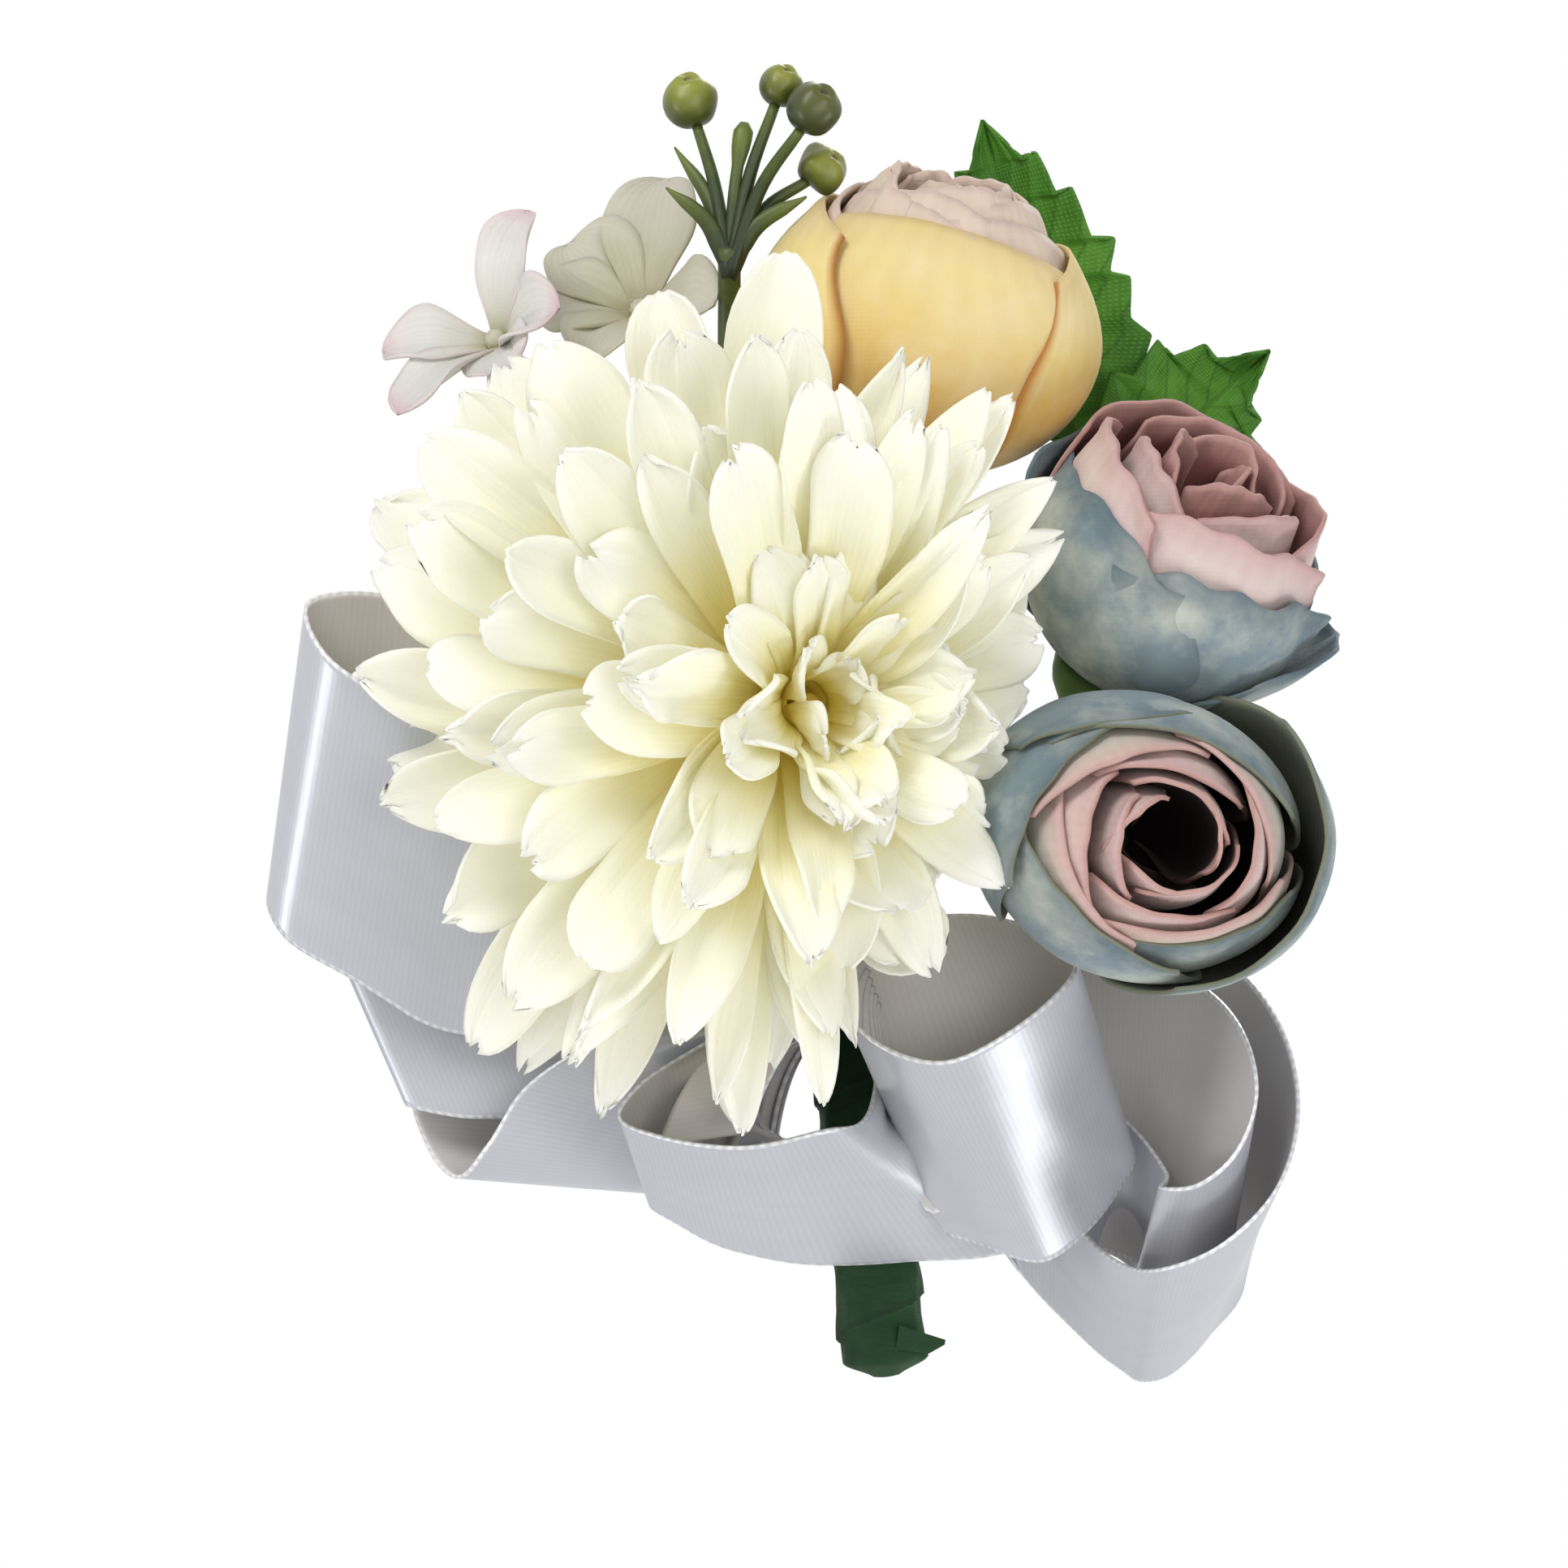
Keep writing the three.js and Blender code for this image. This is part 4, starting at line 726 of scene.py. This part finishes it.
# Leaves: base and tip of the midrib, then tooth tips down each side from the tip, as X and Z
LEAVES = [
    ("upper_leaf", [18.6, -1.4, 49.5], [10.6, -3.4, 77.4],
     [(14.4, 74.7), (17.4, 71.7), (21, 67.5), (22.3, 64.3), (24.1, 59.5), (24.6, 55.2), (23.2, 51.6)],
     [(9, 73.3), (8.4, 69.4), (8.6, 65.2), (9.6, 61), (11.4, 57), (13.4, 53.6)]),
    ("lower_leaf", [20.8, -3.4, 46.2], [34.4, -5.4, 58.2],
     [(33.3, 52.9), (33.5, 50.4), (33.4, 47.6), (31.4, 44.4), (27.6, 43)],
     [(29.5, 58.3), (25.6, 58.7), (21.6, 56), (18.8, 52)])]
# Teeth are drawn out by this much; the notch after each lies at a share of the way to the next, and inward
TOOTH_OUT = 0.7
NOTCH_AT = 0.22
NOTCH_IN = 1.3


def leaf_margin(base, tip, teeth, at):
    """One edge of a leaf from base to tip in the XZ plane, at shares of its length."""
    base, tip = base[[0, 2]], tip[[0, 2]]
    rib, middle = tip - base, (base + tip) / 2
    margin = [base]
    for near, far in zip(teeth[::-1], teeth[::-1][1:] + [tip]):
        near = np.array(near)
        foot = base + rib * np.dot(near - base, rib) / np.dot(rib, rib)
        near = near + unit(near - foot) * TOOTH_OUT
        notch = near + (np.array(far) - near) * NOTCH_AT
        margin += [near, notch + unit(middle - notch) * NOTCH_IN]
    return along_line(np.array(margin + [tip]), at)[0]


for name, base, tip, right, left in LEAVES:
    base, tip = np.array(base), np.array(tip)
    rows = shares(141)
    v = np.linspace(-1, 1, 29)
    midrib = base + (tip - base) * rows[:, None]
    edges = [leaf_margin(base, tip, teeth, rows) for teeth in (left, right)]
    sides = [xyz(edge[:, 0], midrib[:, 1], edge[:, 1]) for edge in edges]
    points = np.stack([midrib + np.abs(s) * (sides[int(s > 0)] - midrib) for s in v], 1)
    wavy = 0.5 * np.sin(9 * rows[:, None] + 2 * np.sign(v)) * v ** 2
    ribs = 0.16 * np.cos(TURN * (LEAF_VEINS * rows[:, None] - 2.5 * np.abs(v))) * np.abs(v) ** 0.5
    points[..., 1] += 1.2 * np.sin(pi * rows)[:, None] - 1.3 * np.abs(v) - wavy - ribs
    leaf = Piece().grid(points, rows[:, None], (v[None] + 1) / 2, 0.3)
    leaf.make(name, LEAF, "leaf_cloth", thick=CLOTH_THICK)

# The leaning stem: one wire in its middle and six round it
STEM_SEAT = [0, -4.85, 0]
STEM_LEAN = about_y(-radians(5.5))
WIRE_RING = 2.05
WIRE_HEIGHTS = (-24, 10, 14)
WIRE_ROWS = 70


def wire_path(slot, points):
    """From a wire's place in the stem, 0 in the middle, through the points."""
    angle = radians(60 * slot - 90)
    ring = WIRE_RING if slot else 0.0
    foot = [STEM_LEAN @ [ring * cos(angle), ring * sin(angle), z] + STEM_SEAT for z in WIRE_HEIGHTS]
    return curve(foot + points, WIRE_ROWS)[0]


# Berries: name, place, radius, how dark. Their stalks and bracts leave the stem at one place
BERRIES = [("berry_left", [-13.6, -14.5, 78.6], 2.3, 0.1), ("berry_top", [-6.1, -16, 79.8], 1.8, 0.25),
           ("berry_right", [-3.4, -19.3, 77.8], 2.25, 0.9), ("berry_low", [-2.7, -15.4, 73], 1.75, 0.0)]
BOXY_BERRY = "berry_low"
BERRY_JOIN = np.array([-10.4, -17, 66.5])
BERRY_SAG = [0, 0.5, 0.6]
# Tip and half width of the closed bud, then of each bract
BUD = ([-9.1, -15.2, 76.8], 0.55)
BRACTS = [([-14.9, -14, 74.8], 0.75), ([-15.6, -16, 71.4], 0.8), ([-4, -17.5, 70.6], 0.8)]
# Share of the length, and share of the half width there
BUD_PROFILE = ([0, 0.7, 0.85, 0.95, 1], [1.0, 0.9, 1.5, 1.5, 0.7])
BRACT_PROFILE = ([0, 0.3, 0.75, 1], [0.7, 1.0, 0.75, 0.12])
STALK_ROWS, BRACT_ROWS = 16, 18

spray = Piece()
spray.tube(wire_path(4, [[-5.5, -3.2, 28], [-10, -9.4, 50], BERRY_JOIN]), 0.95, run=(0, 0.6))
for name, place, radius, luck in BERRIES:
    out = unit(place - BERRY_JOIN)
    end = place - out * radius * 0.9
    stalk = [BERRY_JOIN - [0, 0, 2.5], (BERRY_JOIN * 0.55 + end * 0.45) + BERRY_SAG, end]
    spray.tube(curve(stalk, STALK_ROWS)[0], np.linspace(0.7, 0.45, STALK_ROWS), 10, run=(0.1, 0.75))
    # The pole, where the berry's painted light is, turns mostly to the viewer and a little up
    turned = facing(unit(out + [0.1, -0.9, 0.15]))
    a, b, height = globe(26, 32)
    box = 1.0
    if name == BOXY_BERRY:
        box = 1.12 / (np.abs(np.cos(b)) ** 5 + np.abs(np.sin(b)) ** 5) ** 0.2
    pole = 0.05 * smooth(a, 0.95, 1.15) - 0.12 * smooth(a, 1.15, 1.5)
    swell = radius * (1 + 0.025 * np.sin(3 * b + 4 * a) + pole)
    ball = around(swell * box * np.cos(a), b, swell * np.sin(a))
    berry = Piece().grid(ball @ turned.T + place, height, luck=luck)
    berry.make(name, BERRY, "berry")
for (tip, thick), profile in [(BUD, BUD_PROFILE)] + [(bract, BRACT_PROFILE) for bract in BRACTS]:
    bend = np.array([0.3 * (BERRY_JOIN[0] - tip[0]), 0, -0.8])
    path = curve([BERRY_JOIN - [0, 0, 2], (BERRY_JOIN + tip) / 2 + bend * 0.5, tip], BRACT_ROWS)[0]
    spray.tube(path, thick * np.interp(shares(BRACT_ROWS), *profile), 10, 0.1, (0.2, 0.95), 0.6)
spray.make("berry_stem", SPRAY, "berry_stem")

# Small blossoms: name, place, axis, cloth, then each petal: turn, length, width, how far its tip curls back
BLOSSOMS = [
    ("outer_blossom", [-29.4, -16, 58.6], [-0.45, -0.5, 0.5], WHITE,
     [(45, 11.8, 6.2, 0.1), (163, 10.2, 6.2, 0.1), (214, 12, 6.2, 0.0), (330, 8.8, 6.6, 0.3),
      (276, 8.4, 6.6, 0.3)]),
    ("inner_blossom", [-17.6, -10, 61.2], [-0.25, -0.55, 0.6], GREY_WHITE,
     [(66, 12.8, 8.8, 0.1), (118, 10, 8.4, 0.2), (165, 9, 9.2, 0.2), (235, 8.6, 7.6, 0.6),
      (320, 8.6, 7.4, 0.5)])]
BLOSSOM_VIA = [[-8, -6.5, 26], [-17, -9, 44]]
BLOSSOM_ROOT, BLOSSOM_TIP = radians(48), radians(84)
BLOSSOM_WIRE = 0.7
EYE_RADIUS = 0.92
THORN_AT = 60

blossom_wire = Piece()
for name, place, axis, cloth, petals in BLOSSOMS:
    turned = facing(axis)
    crown = Piece()
    for turn, length, width, curl in petals:
        crown.petal(
            radians(turn), turned, place, length - 0.5, width, BLOSSOM_ROOT, BLOSSOM_TIP, cup=1.3, point=0.6,
            narrow=0.3, wide_at=0.6, groove=0.25, wave=0.8, start=(0.5, -0.3), phase=chance(0, 6),
            curl=curl, bend=chance(-0.8, 0.8), cols=17, rows=22)
    crown.make(f"{name}_petals", cloth, "blossom_petals", thick=CLOTH_THICK)
    a, b, height = globe(18, 24)
    r = EYE_RADIUS * (1 + 0.12 * np.sin(7 * b) * np.sin(9 * a))
    bead = around(r * np.cos(a), b, r * np.sin(a) + 0.4)
    eye = Piece().grid(bead @ turned.T + place, height, luck=0.1)
    eye.make(f"{name}_eye", EYE, "blossom_eye")
    foot, lead = turned @ [0, 0, -0.9] + place, turned @ [0, 0, -4] + place
    if name == "outer_blossom":
        path = wire_path(5, BLOSSOM_VIA + [lead, foot])
        blossom_wire.tube(path, BLOSSOM_WIRE)
        thorn = path[THORN_AT]
        blossom_wire.tube([thorn, thorn + [-0.9, -0.3, 0.1], thorn + [-1.7, -0.5, 0.5]], [0.45, 0.35, 0.1], 8)
    else:
        blossom_wire.tube(curve([BLOSSOM_VIA[-1], lead, foot], 24)[0], BLOSSOM_WIRE)
blossom_wire.make("blossom_stem", DARK, "dark_stem")

# Calyxes and wires
WIRE_RADIUS = 0.8
SOCKET_RADIUS = 1.1


def turned_shape(profile, sides, lobes, depth, twist=0.0):
    """Turned form about Z with lobes round it, and its shade along."""
    profile = np.array(profile, float)
    b = ring_angles(sides)
    share = shares(len(profile))[:, None]
    swell = 1 + depth * np.cos(lobes * b + twist * share)
    return around(profile[:, :1] * swell, b, profile[:, 1:]), share


def calyx(name, place, axis, top, radius, height, slot, via):
    """Cup under a flower with a socket, and the wire from the stem that ends there."""
    turned = facing(axis)
    bottom = top - height
    profile = [
        [0.02, top + 0.8], [radius * 0.7, top + 0.8], [radius * 1.04, top + 1.0], [radius * 1.02, top - 0.4],
        [radius * 0.92, top - height * 0.3], [radius * 0.66, top - height * 0.6], [2.2, top - height * 0.85],
        [1.9, bottom + 0.1], [SOCKET_RADIUS, bottom], [SOCKET_RADIUS, bottom + 2.4]]
    points, along = turned_shape(profile, 40, lobes=5, depth=0.05)
    cup = Piece().grid(points @ turned.T + place, along, luck=0.2)
    cup.make(f"{name}_calyx", CALYX, "calyx")
    ends = [turned @ [0, 0, bottom + past] + place for past in (-3, 0, 2.1)]
    Piece().tube(wire_path(slot, via + ends), WIRE_RADIUS).make(f"{name}_stem", WIRE, "wired_stem")


calyx("mum", MUM_PLACE, MUM_AXIS, -0.525, 5, 5.5, 6, [[-5, -11, 18]])
ROSE_WIRES = {"yellow_rose": (0, [[0.2, -6, 28]]), "upper_blue_rose": (2, [[6.6, -5.2, 22]]),
              "lower_blue_rose": (1, [[6.4, -8, 16]])}
for name, place, axis, _, _, half in ROSES:
    calyx(name, place, axis, -half - 0.5, 4.5, 4.5, *ROSE_WIRES[name])
base, tip = (np.array(end) for end in LEAVES[0][1:3])
leaf_wire = wire_path(3, [[1.6, -1.8, 26], [9.6, -1.8, 40], base + unit(base - tip) * 0.4])
Piece().tube(leaf_wire, WIRE_RADIUS).make("leaf_stem", WIRE, "wired_stem")

# Taped stem: laps of tape, closed ends, a torn flap
TAPE_LOW, TAPE_HIGH = -27, 12
TAPE_RADIUS = 3.75
TAPE_STEP = 0.35
TAPE_PITCH = 6.5
FLAP_ROWS = 14

z = np.linspace(TAPE_LOW, TAPE_HIGH, 150)[:, None]
b = ring_angles(48)
lap = ((z - TAPE_LOW) / TAPE_PITCH - b / TURN) % 1.0
swell = TAPE_RADIUS - TAPE_STEP * lap + 0.08 * np.sin(5 * b + 0.9 * z) + 0.06 * np.sin(11 * b - 0.7 * z)
swell *= np.minimum(1, 0.25 + 0.75 * smooth(z, TAPE_LOW - 0.2, TAPE_LOW + 1.4))
wrap = Piece()
wrap.grid(around(swell, b, z) @ STEM_LEAN.T + STEM_SEAT, lap)
rows = np.linspace(0.02, 1, 6)[:, None]
for end, bulge, radius in ((TAPE_LOW, -0.1, 0.94), (TAPE_HIGH, 0.1, 3.5)):
    cap = around(radius * rows, b, end + bulge * (1 - rows ** 2))
    wrap.grid((cap if bulge < 0 else cap[::-1]) @ STEM_LEAN.T + STEM_SEAT, 0.6)
flap = np.linspace([1.5, -3.6, -22.8], [5.2, -2.6, -24.4], FLAP_ROWS)
drop = shares(7)[None, :, None] * [-0.5, 0.15, -2]
longer = np.interp(shares(FLAP_ROWS), [0, 0.7, 1], [1, 0.75, 0.2])
torn = flap[:, None] + drop * longer[:, None, None]
wrap.grid(torn @ STEM_LEAN.T + STEM_SEAT, 0.5, 0.5)
wrap.make("stem_wrap", TAPE, "floral_tape")

# Gathered knot in front of the stem
KNOT_LOW, KNOT_TALL = 3.5, 10
KNOT_FORWARD = [0, -7.25, 0]

share = shares(40)
girth = np.interp(share, [0, 0.06, 0.3, 0.5, 0.7, 0.94, 1], [0.3, 2.2, 3.1, 2.6, 3.1, 2.2, 0.3])
profile = np.stack([girth, KNOT_LOW + KNOT_TALL * share], -1)
points, along = turned_shape(profile, 96, lobes=11, depth=0.06, twist=1.5)
knot = Piece().grid((points + KNOT_FORWARD) @ STEM_LEAN.T + STEM_SEAT, along * 0.1, 0.5, 0.4, closed=True)
knot.make("ribbon_knot", SATIN, "satin_ribbon")

# Ribbon: the width that a loop's directions scale, the width of the cloth, and the width at the knot
RIBBON = 25.0
CUT_WIDTH = 22.0
PINCHED = 4.5
RIBBON_ROWS, STRIP_ROWS = 150, 60
# One unit of the shade along a ribbon, in millimetres
SHADE_LENGTH = 100
FACE_OUT, FACE_IN = (SATIN, SATIN_BACK), (SATIN_BACK, SATIN)
# How much longer a sine wave is than its chord, for a range of slopes
slack = np.linspace(0, 12, 240)
stretch = np.array([np.sqrt(1 + (k * np.cos(np.linspace(0, pi, 200))) ** 2).mean() for k in slack])


def ribbon(name, pinch, rim, across, cloth=FACE_OUT, folds=4, keep=0.85, sharp=1):
    """Loop between two ends at the knot: smooth where it is open, pleated where it is drawn in.

    rim is the upper edge, across the way over the width, pinch the length drawn in at each end, keep the
    share of the lost width that goes into pleats; sharp opens the first end sooner."""
    u = shares(RIBBON_ROWS)
    v = shares(41)[None]
    edge, length = curve(rim, RIBBON_ROWS)
    towards = blend_through(across, u)
    near = length * np.minimum(u * sharp, 1 - u)
    reach = PINCHED + (RIBBON - PINCHED) * smooth(near, 0, pinch)
    points = edge[:, None] + towards[:, None] * (reach[:, None] * v)[..., None]
    chord = reach * np.linalg.norm(towards, axis=1)
    drawn = keep * (1 - smooth(near, pinch * 0.35, pinch * 1.05))
    width = chord + drawn * np.maximum(CUT_WIDTH - chord, 0)
    depth = np.interp(width / chord, stretch, slack) * chord / (TURN * folds)
    normal = unit(np.cross(np.gradient(points, axis=0), towards[:, None]))
    pleat = np.sin(TURN * folds * v + 0.6 * np.sin(9 * u[:, None]))
    points = points + normal * (depth[:, None] * pleat)[..., None]
    loop = Piece().grid(points, u[:, None] * length / SHADE_LENGTH, v, chance())
    made = loop.make(name, cloth[0], "satin_ribbon", thick=CLOTH_THICK, inside=cloth[1])


ribbon("ribbon_loop_right_front", 7, [
    [-2, -15.7, 9], [2, -15.9, 10.4], [6, -15.3, 11.4], [11.4, -15.2, 11.4], [16.6, -17.2, 9.6],
    [18, -22, 7.2], [13.4, -26.5, 2.6], [7, -28, -0.4], [1.6, -26.5, 1.2], [-1.6, -22, 5.4],
    [0.6, -17.6, 8]], [
    [0.2, 0, -0.95], [0.36, 0, -0.8], [0.2, 0.3, -0.66], [0.28, 0.5, -0.66], [0.4, 0.4, -0.7],
    [0.3, 0.2, -0.9]], folds=6, keep=0.1, sharp=2.6)
ribbon("ribbon_loop_right_middle", 18, [
    [3.2, -11.4, 8.4], [12, -8.2, 8.2], [21, -8.8, 8], [28, -13.5, 6], [32, -21, 1.5], [32.8, -24.5, -3.5],
    [31, -26, -8], [28, -26, -10.5], [25.2, -23.6, -10.8], [25.6, -15.4, -9.6], [22, -10.2, -5.2],
    [12, -10.6, 1], [3.2, -12, 4.6]], [
    [0, 0, -1], [0, 0.05, -0.98], [-0.15, 0.3, -0.92], [-0.05, 0.64, -0.42], [-0.08, 0.46, -0.36],
    [0, 0.04, -0.55], [0, 0, -0.8]], keep=0.6)
ribbon("ribbon_loop_right_back", 18, [
    [3.2, -9.8, 9.6], [12, -4.2, 9.8], [24, -4.6, 9.8], [31, -9, 7.5], [35.4, -15, 1.5], [36.4, -18.5, -5],
    [34.5, -22, -11], [30, -23.5, -15.5], [25.6, -22, -17.4], [21.4, -14.4, -17], [16.6, -7.6, -12],
    [10.4, -6, -4], [4.6, -9.6, 2.6], [3.2, -10.2, 4.8]], [
    [0, 0, -1], [0, 0.05, -0.95], [-0.08, 0.35, -0.9], [-0.24, 0.72, -0.56], [-0.02, 0.62, -0.36],
    [0, 0.12, -0.4], [0, 0, -0.5]], keep=0.6)
ribbon("ribbon_front_swag", 12, [
    [0.8, -14.2, 3], [1.2, -18.4, -3], [0.4, -22.6, -5.4], [-2.4, -26.4, -6], [-9, -27, -7.4],
    [-16, -24, -6.6], [-19.4, -21, -5], [-17.5, -18.8, -2.2], [-11, -17.2, 1.6], [-5.4, -15.4, 5]], [
    [0.7, 0.1, -0.55], [0.54, 0.42, -0.46], [0.25, 0.68, -0.44], [0.1, 0.62, -0.36], [0.1, 0.3, -0.3],
    [0.1, 0.12, -0.5], [0, 0.05, -0.6]])
ribbon("ribbon_loop_left_upper", 34, [
    [-4.7, -11.8, 11.4], [-16, -12, 22], [-29, -13.5, 34], [-39, -15.5, 38], [-45, -18.5, 37.2],
    [-43.5, -22, 33], [-37, -22.5, 28.5], [-26, -19.5, 20.5], [-14, -16, 13.5], [-4.8, -13.6, 10.4]], [
    [0.1, 0, -1], [0.1, 0.05, -0.98], [-0.13, 0.3, -0.94], [-0.13, 0.4, -0.9], [0, 0, -1]], FACE_IN)
ribbon("ribbon_loop_left_middle", 30, [
    [-3.6, -9.4, 10.8], [-18, -5.4, 16], [-32, -3.8, 20], [-43, -3.8, 20.5], [-47.4, -5.4, 18.6],
    [-43, -7, 17.5], [-33, -7.4, 17.6], [-20, -8.2, 14.5], [-4.6, -10.6, 10]], [
    [0.1, 0, -1], [0.25, 0, -0.96], [0.4, 0, -0.91], [0.3, 0, -0.95], [0, 0, -1]], FACE_IN)
ribbon("ribbon_loop_left_low", 16, [
    [-3.5, -10.4, 5], [-16, -3.4, 0.5], [-28, -1.9, 0], [-36.6, -1.5, -3], [-35.5, -3.5, -8],
    [-33, -7, -10.3], [-30.4, -11, -7.5], [-27, -13, -2.5], [-19, -13.4, 2], [-4.1, -12.6, 4.6]], [
    [0.1, 0, -0.8], [0.5, -0.02, -0.35], [0.97, -0.02, -0.06], [0.8, 0, -0.3], [0, 0, -0.8]], FACE_IN)

# Short end that hangs from the knot, folded lengthways in three
u = shares(STRIP_ROWS)
v = shares(61)[None]
fall = [[-3.6, -17, 6.4], [-4.6, -18.8, 3.4], [-6, -20.4, 0], [-7.6, -21, -3.4], [-8.8, -20.8, -6.4]]
edge, length = curve(fall, STRIP_ROWS)
towards = blend_through([[-0.8, 0, -0.4], [-0.95, 0.05, -0.2], [-0.98, 0.05, -0.15]], u)
reach = PINCHED + 3.1 * smooth(length * u, 0, 8)
panel = np.abs((3 * v + 1) % 2 - 1)
panel = panel * 0.94 + 0.06 * np.sin(panel * pi / 2)
layers = xyz(0, (v - 0.5) * 1.6, 0)
points = edge[:, None] + towards[:, None] * (reach[:, None] * panel)[..., None] + layers
folded = Piece().grid(points, u[:, None] * length / SHADE_LENGTH, v, 0.7)
strip = folded.make("ribbon_strip", SATIN, "satin_ribbon", thick=STRIP_THICK, inside=SATIN_BACK)

# The chrysanthemum's spindle, from behind the first layer to above the last one
SPINDLE_RADIUS = 0.8
SPINDLE_LOW, SPINDLE_HIGH = -0.2, 3
SPINDLE_ROWS = 40

stations = list(mum_stations())
(first, turned), (last, raised) = stations[0], stations[-1]
behind, above = first + turned @ [0, 0, SPINDLE_LOW], last + raised @ [0, 0, SPINDLE_HIGH]
route = [behind, *(hub for hub, _ in stations), above]
knobbly = SPINDLE_RADIUS + 0.08 * np.sin(np.arange(SPINDLE_ROWS) * 1.9)
spindle = Piece().tube(curve(route, SPINDLE_ROWS)[0], knobbly)
spindle.make("mum_spindle", CORE, "spindle")

# Pin: the CAD's own pieces in steel with softened edges
EDGE_ROUND = 0.08
for node in ("pin_bar", "hinge_rivet", "pin_needle", "catch_housing", "catch_lock"):
    made = bpy.data.objects[node]
    made.data.materials.clear()
    made.data.materials.append(STEEL)
    edges = made.modifiers.new("edges", "BEVEL")
    edges.width = EDGE_ROUND * MM
    edges.segments = 2
    edges.limit_method = "ANGLE"

# Stage: white where it is seen, at a plain level where it lights the object
WORLD_LIGHT = 0.44
FLOOR_WHITE = 0.92
FLOOR_HALF = 2
FLOOR_HEIGHT = -0.45

scene.world = bpy.data.worlds.new("studio")
sky = Graph(scene.world)
level = sky.add("Mix", _0=sky.background_ray(), _2=WORLD_LIGHT, _3=1.0).outputs[0]
sky.fill(sky.tree.nodes["Background"], Color=(1, 1, 1, 1), Strength=level)

floor_mesh = bpy.data.meshes.new("floor")
corners = [(x * FLOOR_HALF, y * FLOOR_HALF, FLOOR_HEIGHT) for x, y in ((-1, -1), (1, -1), (1, 1), (-1, 1))]
floor_mesh.from_pydata(corners, [], [(0, 1, 2, 3)])
floor = bpy.data.objects.new("floor", floor_mesh)
scene.collection.objects.link(floor)
pale = paint("pale_floor")
pale.finish(pale.mix(pale.noise(pale.place(), 4.0), "#f4f4f3", "#ffffff"), 0.9)
white = pale.add("Emission", Color=(1, 1, 1, 1), Strength=1.0).outputs[0]
pale.mix_shader(pale.times(pale.background_ray(), FLOOR_WHITE), white)
floor_mesh.materials.append(pale.owner)
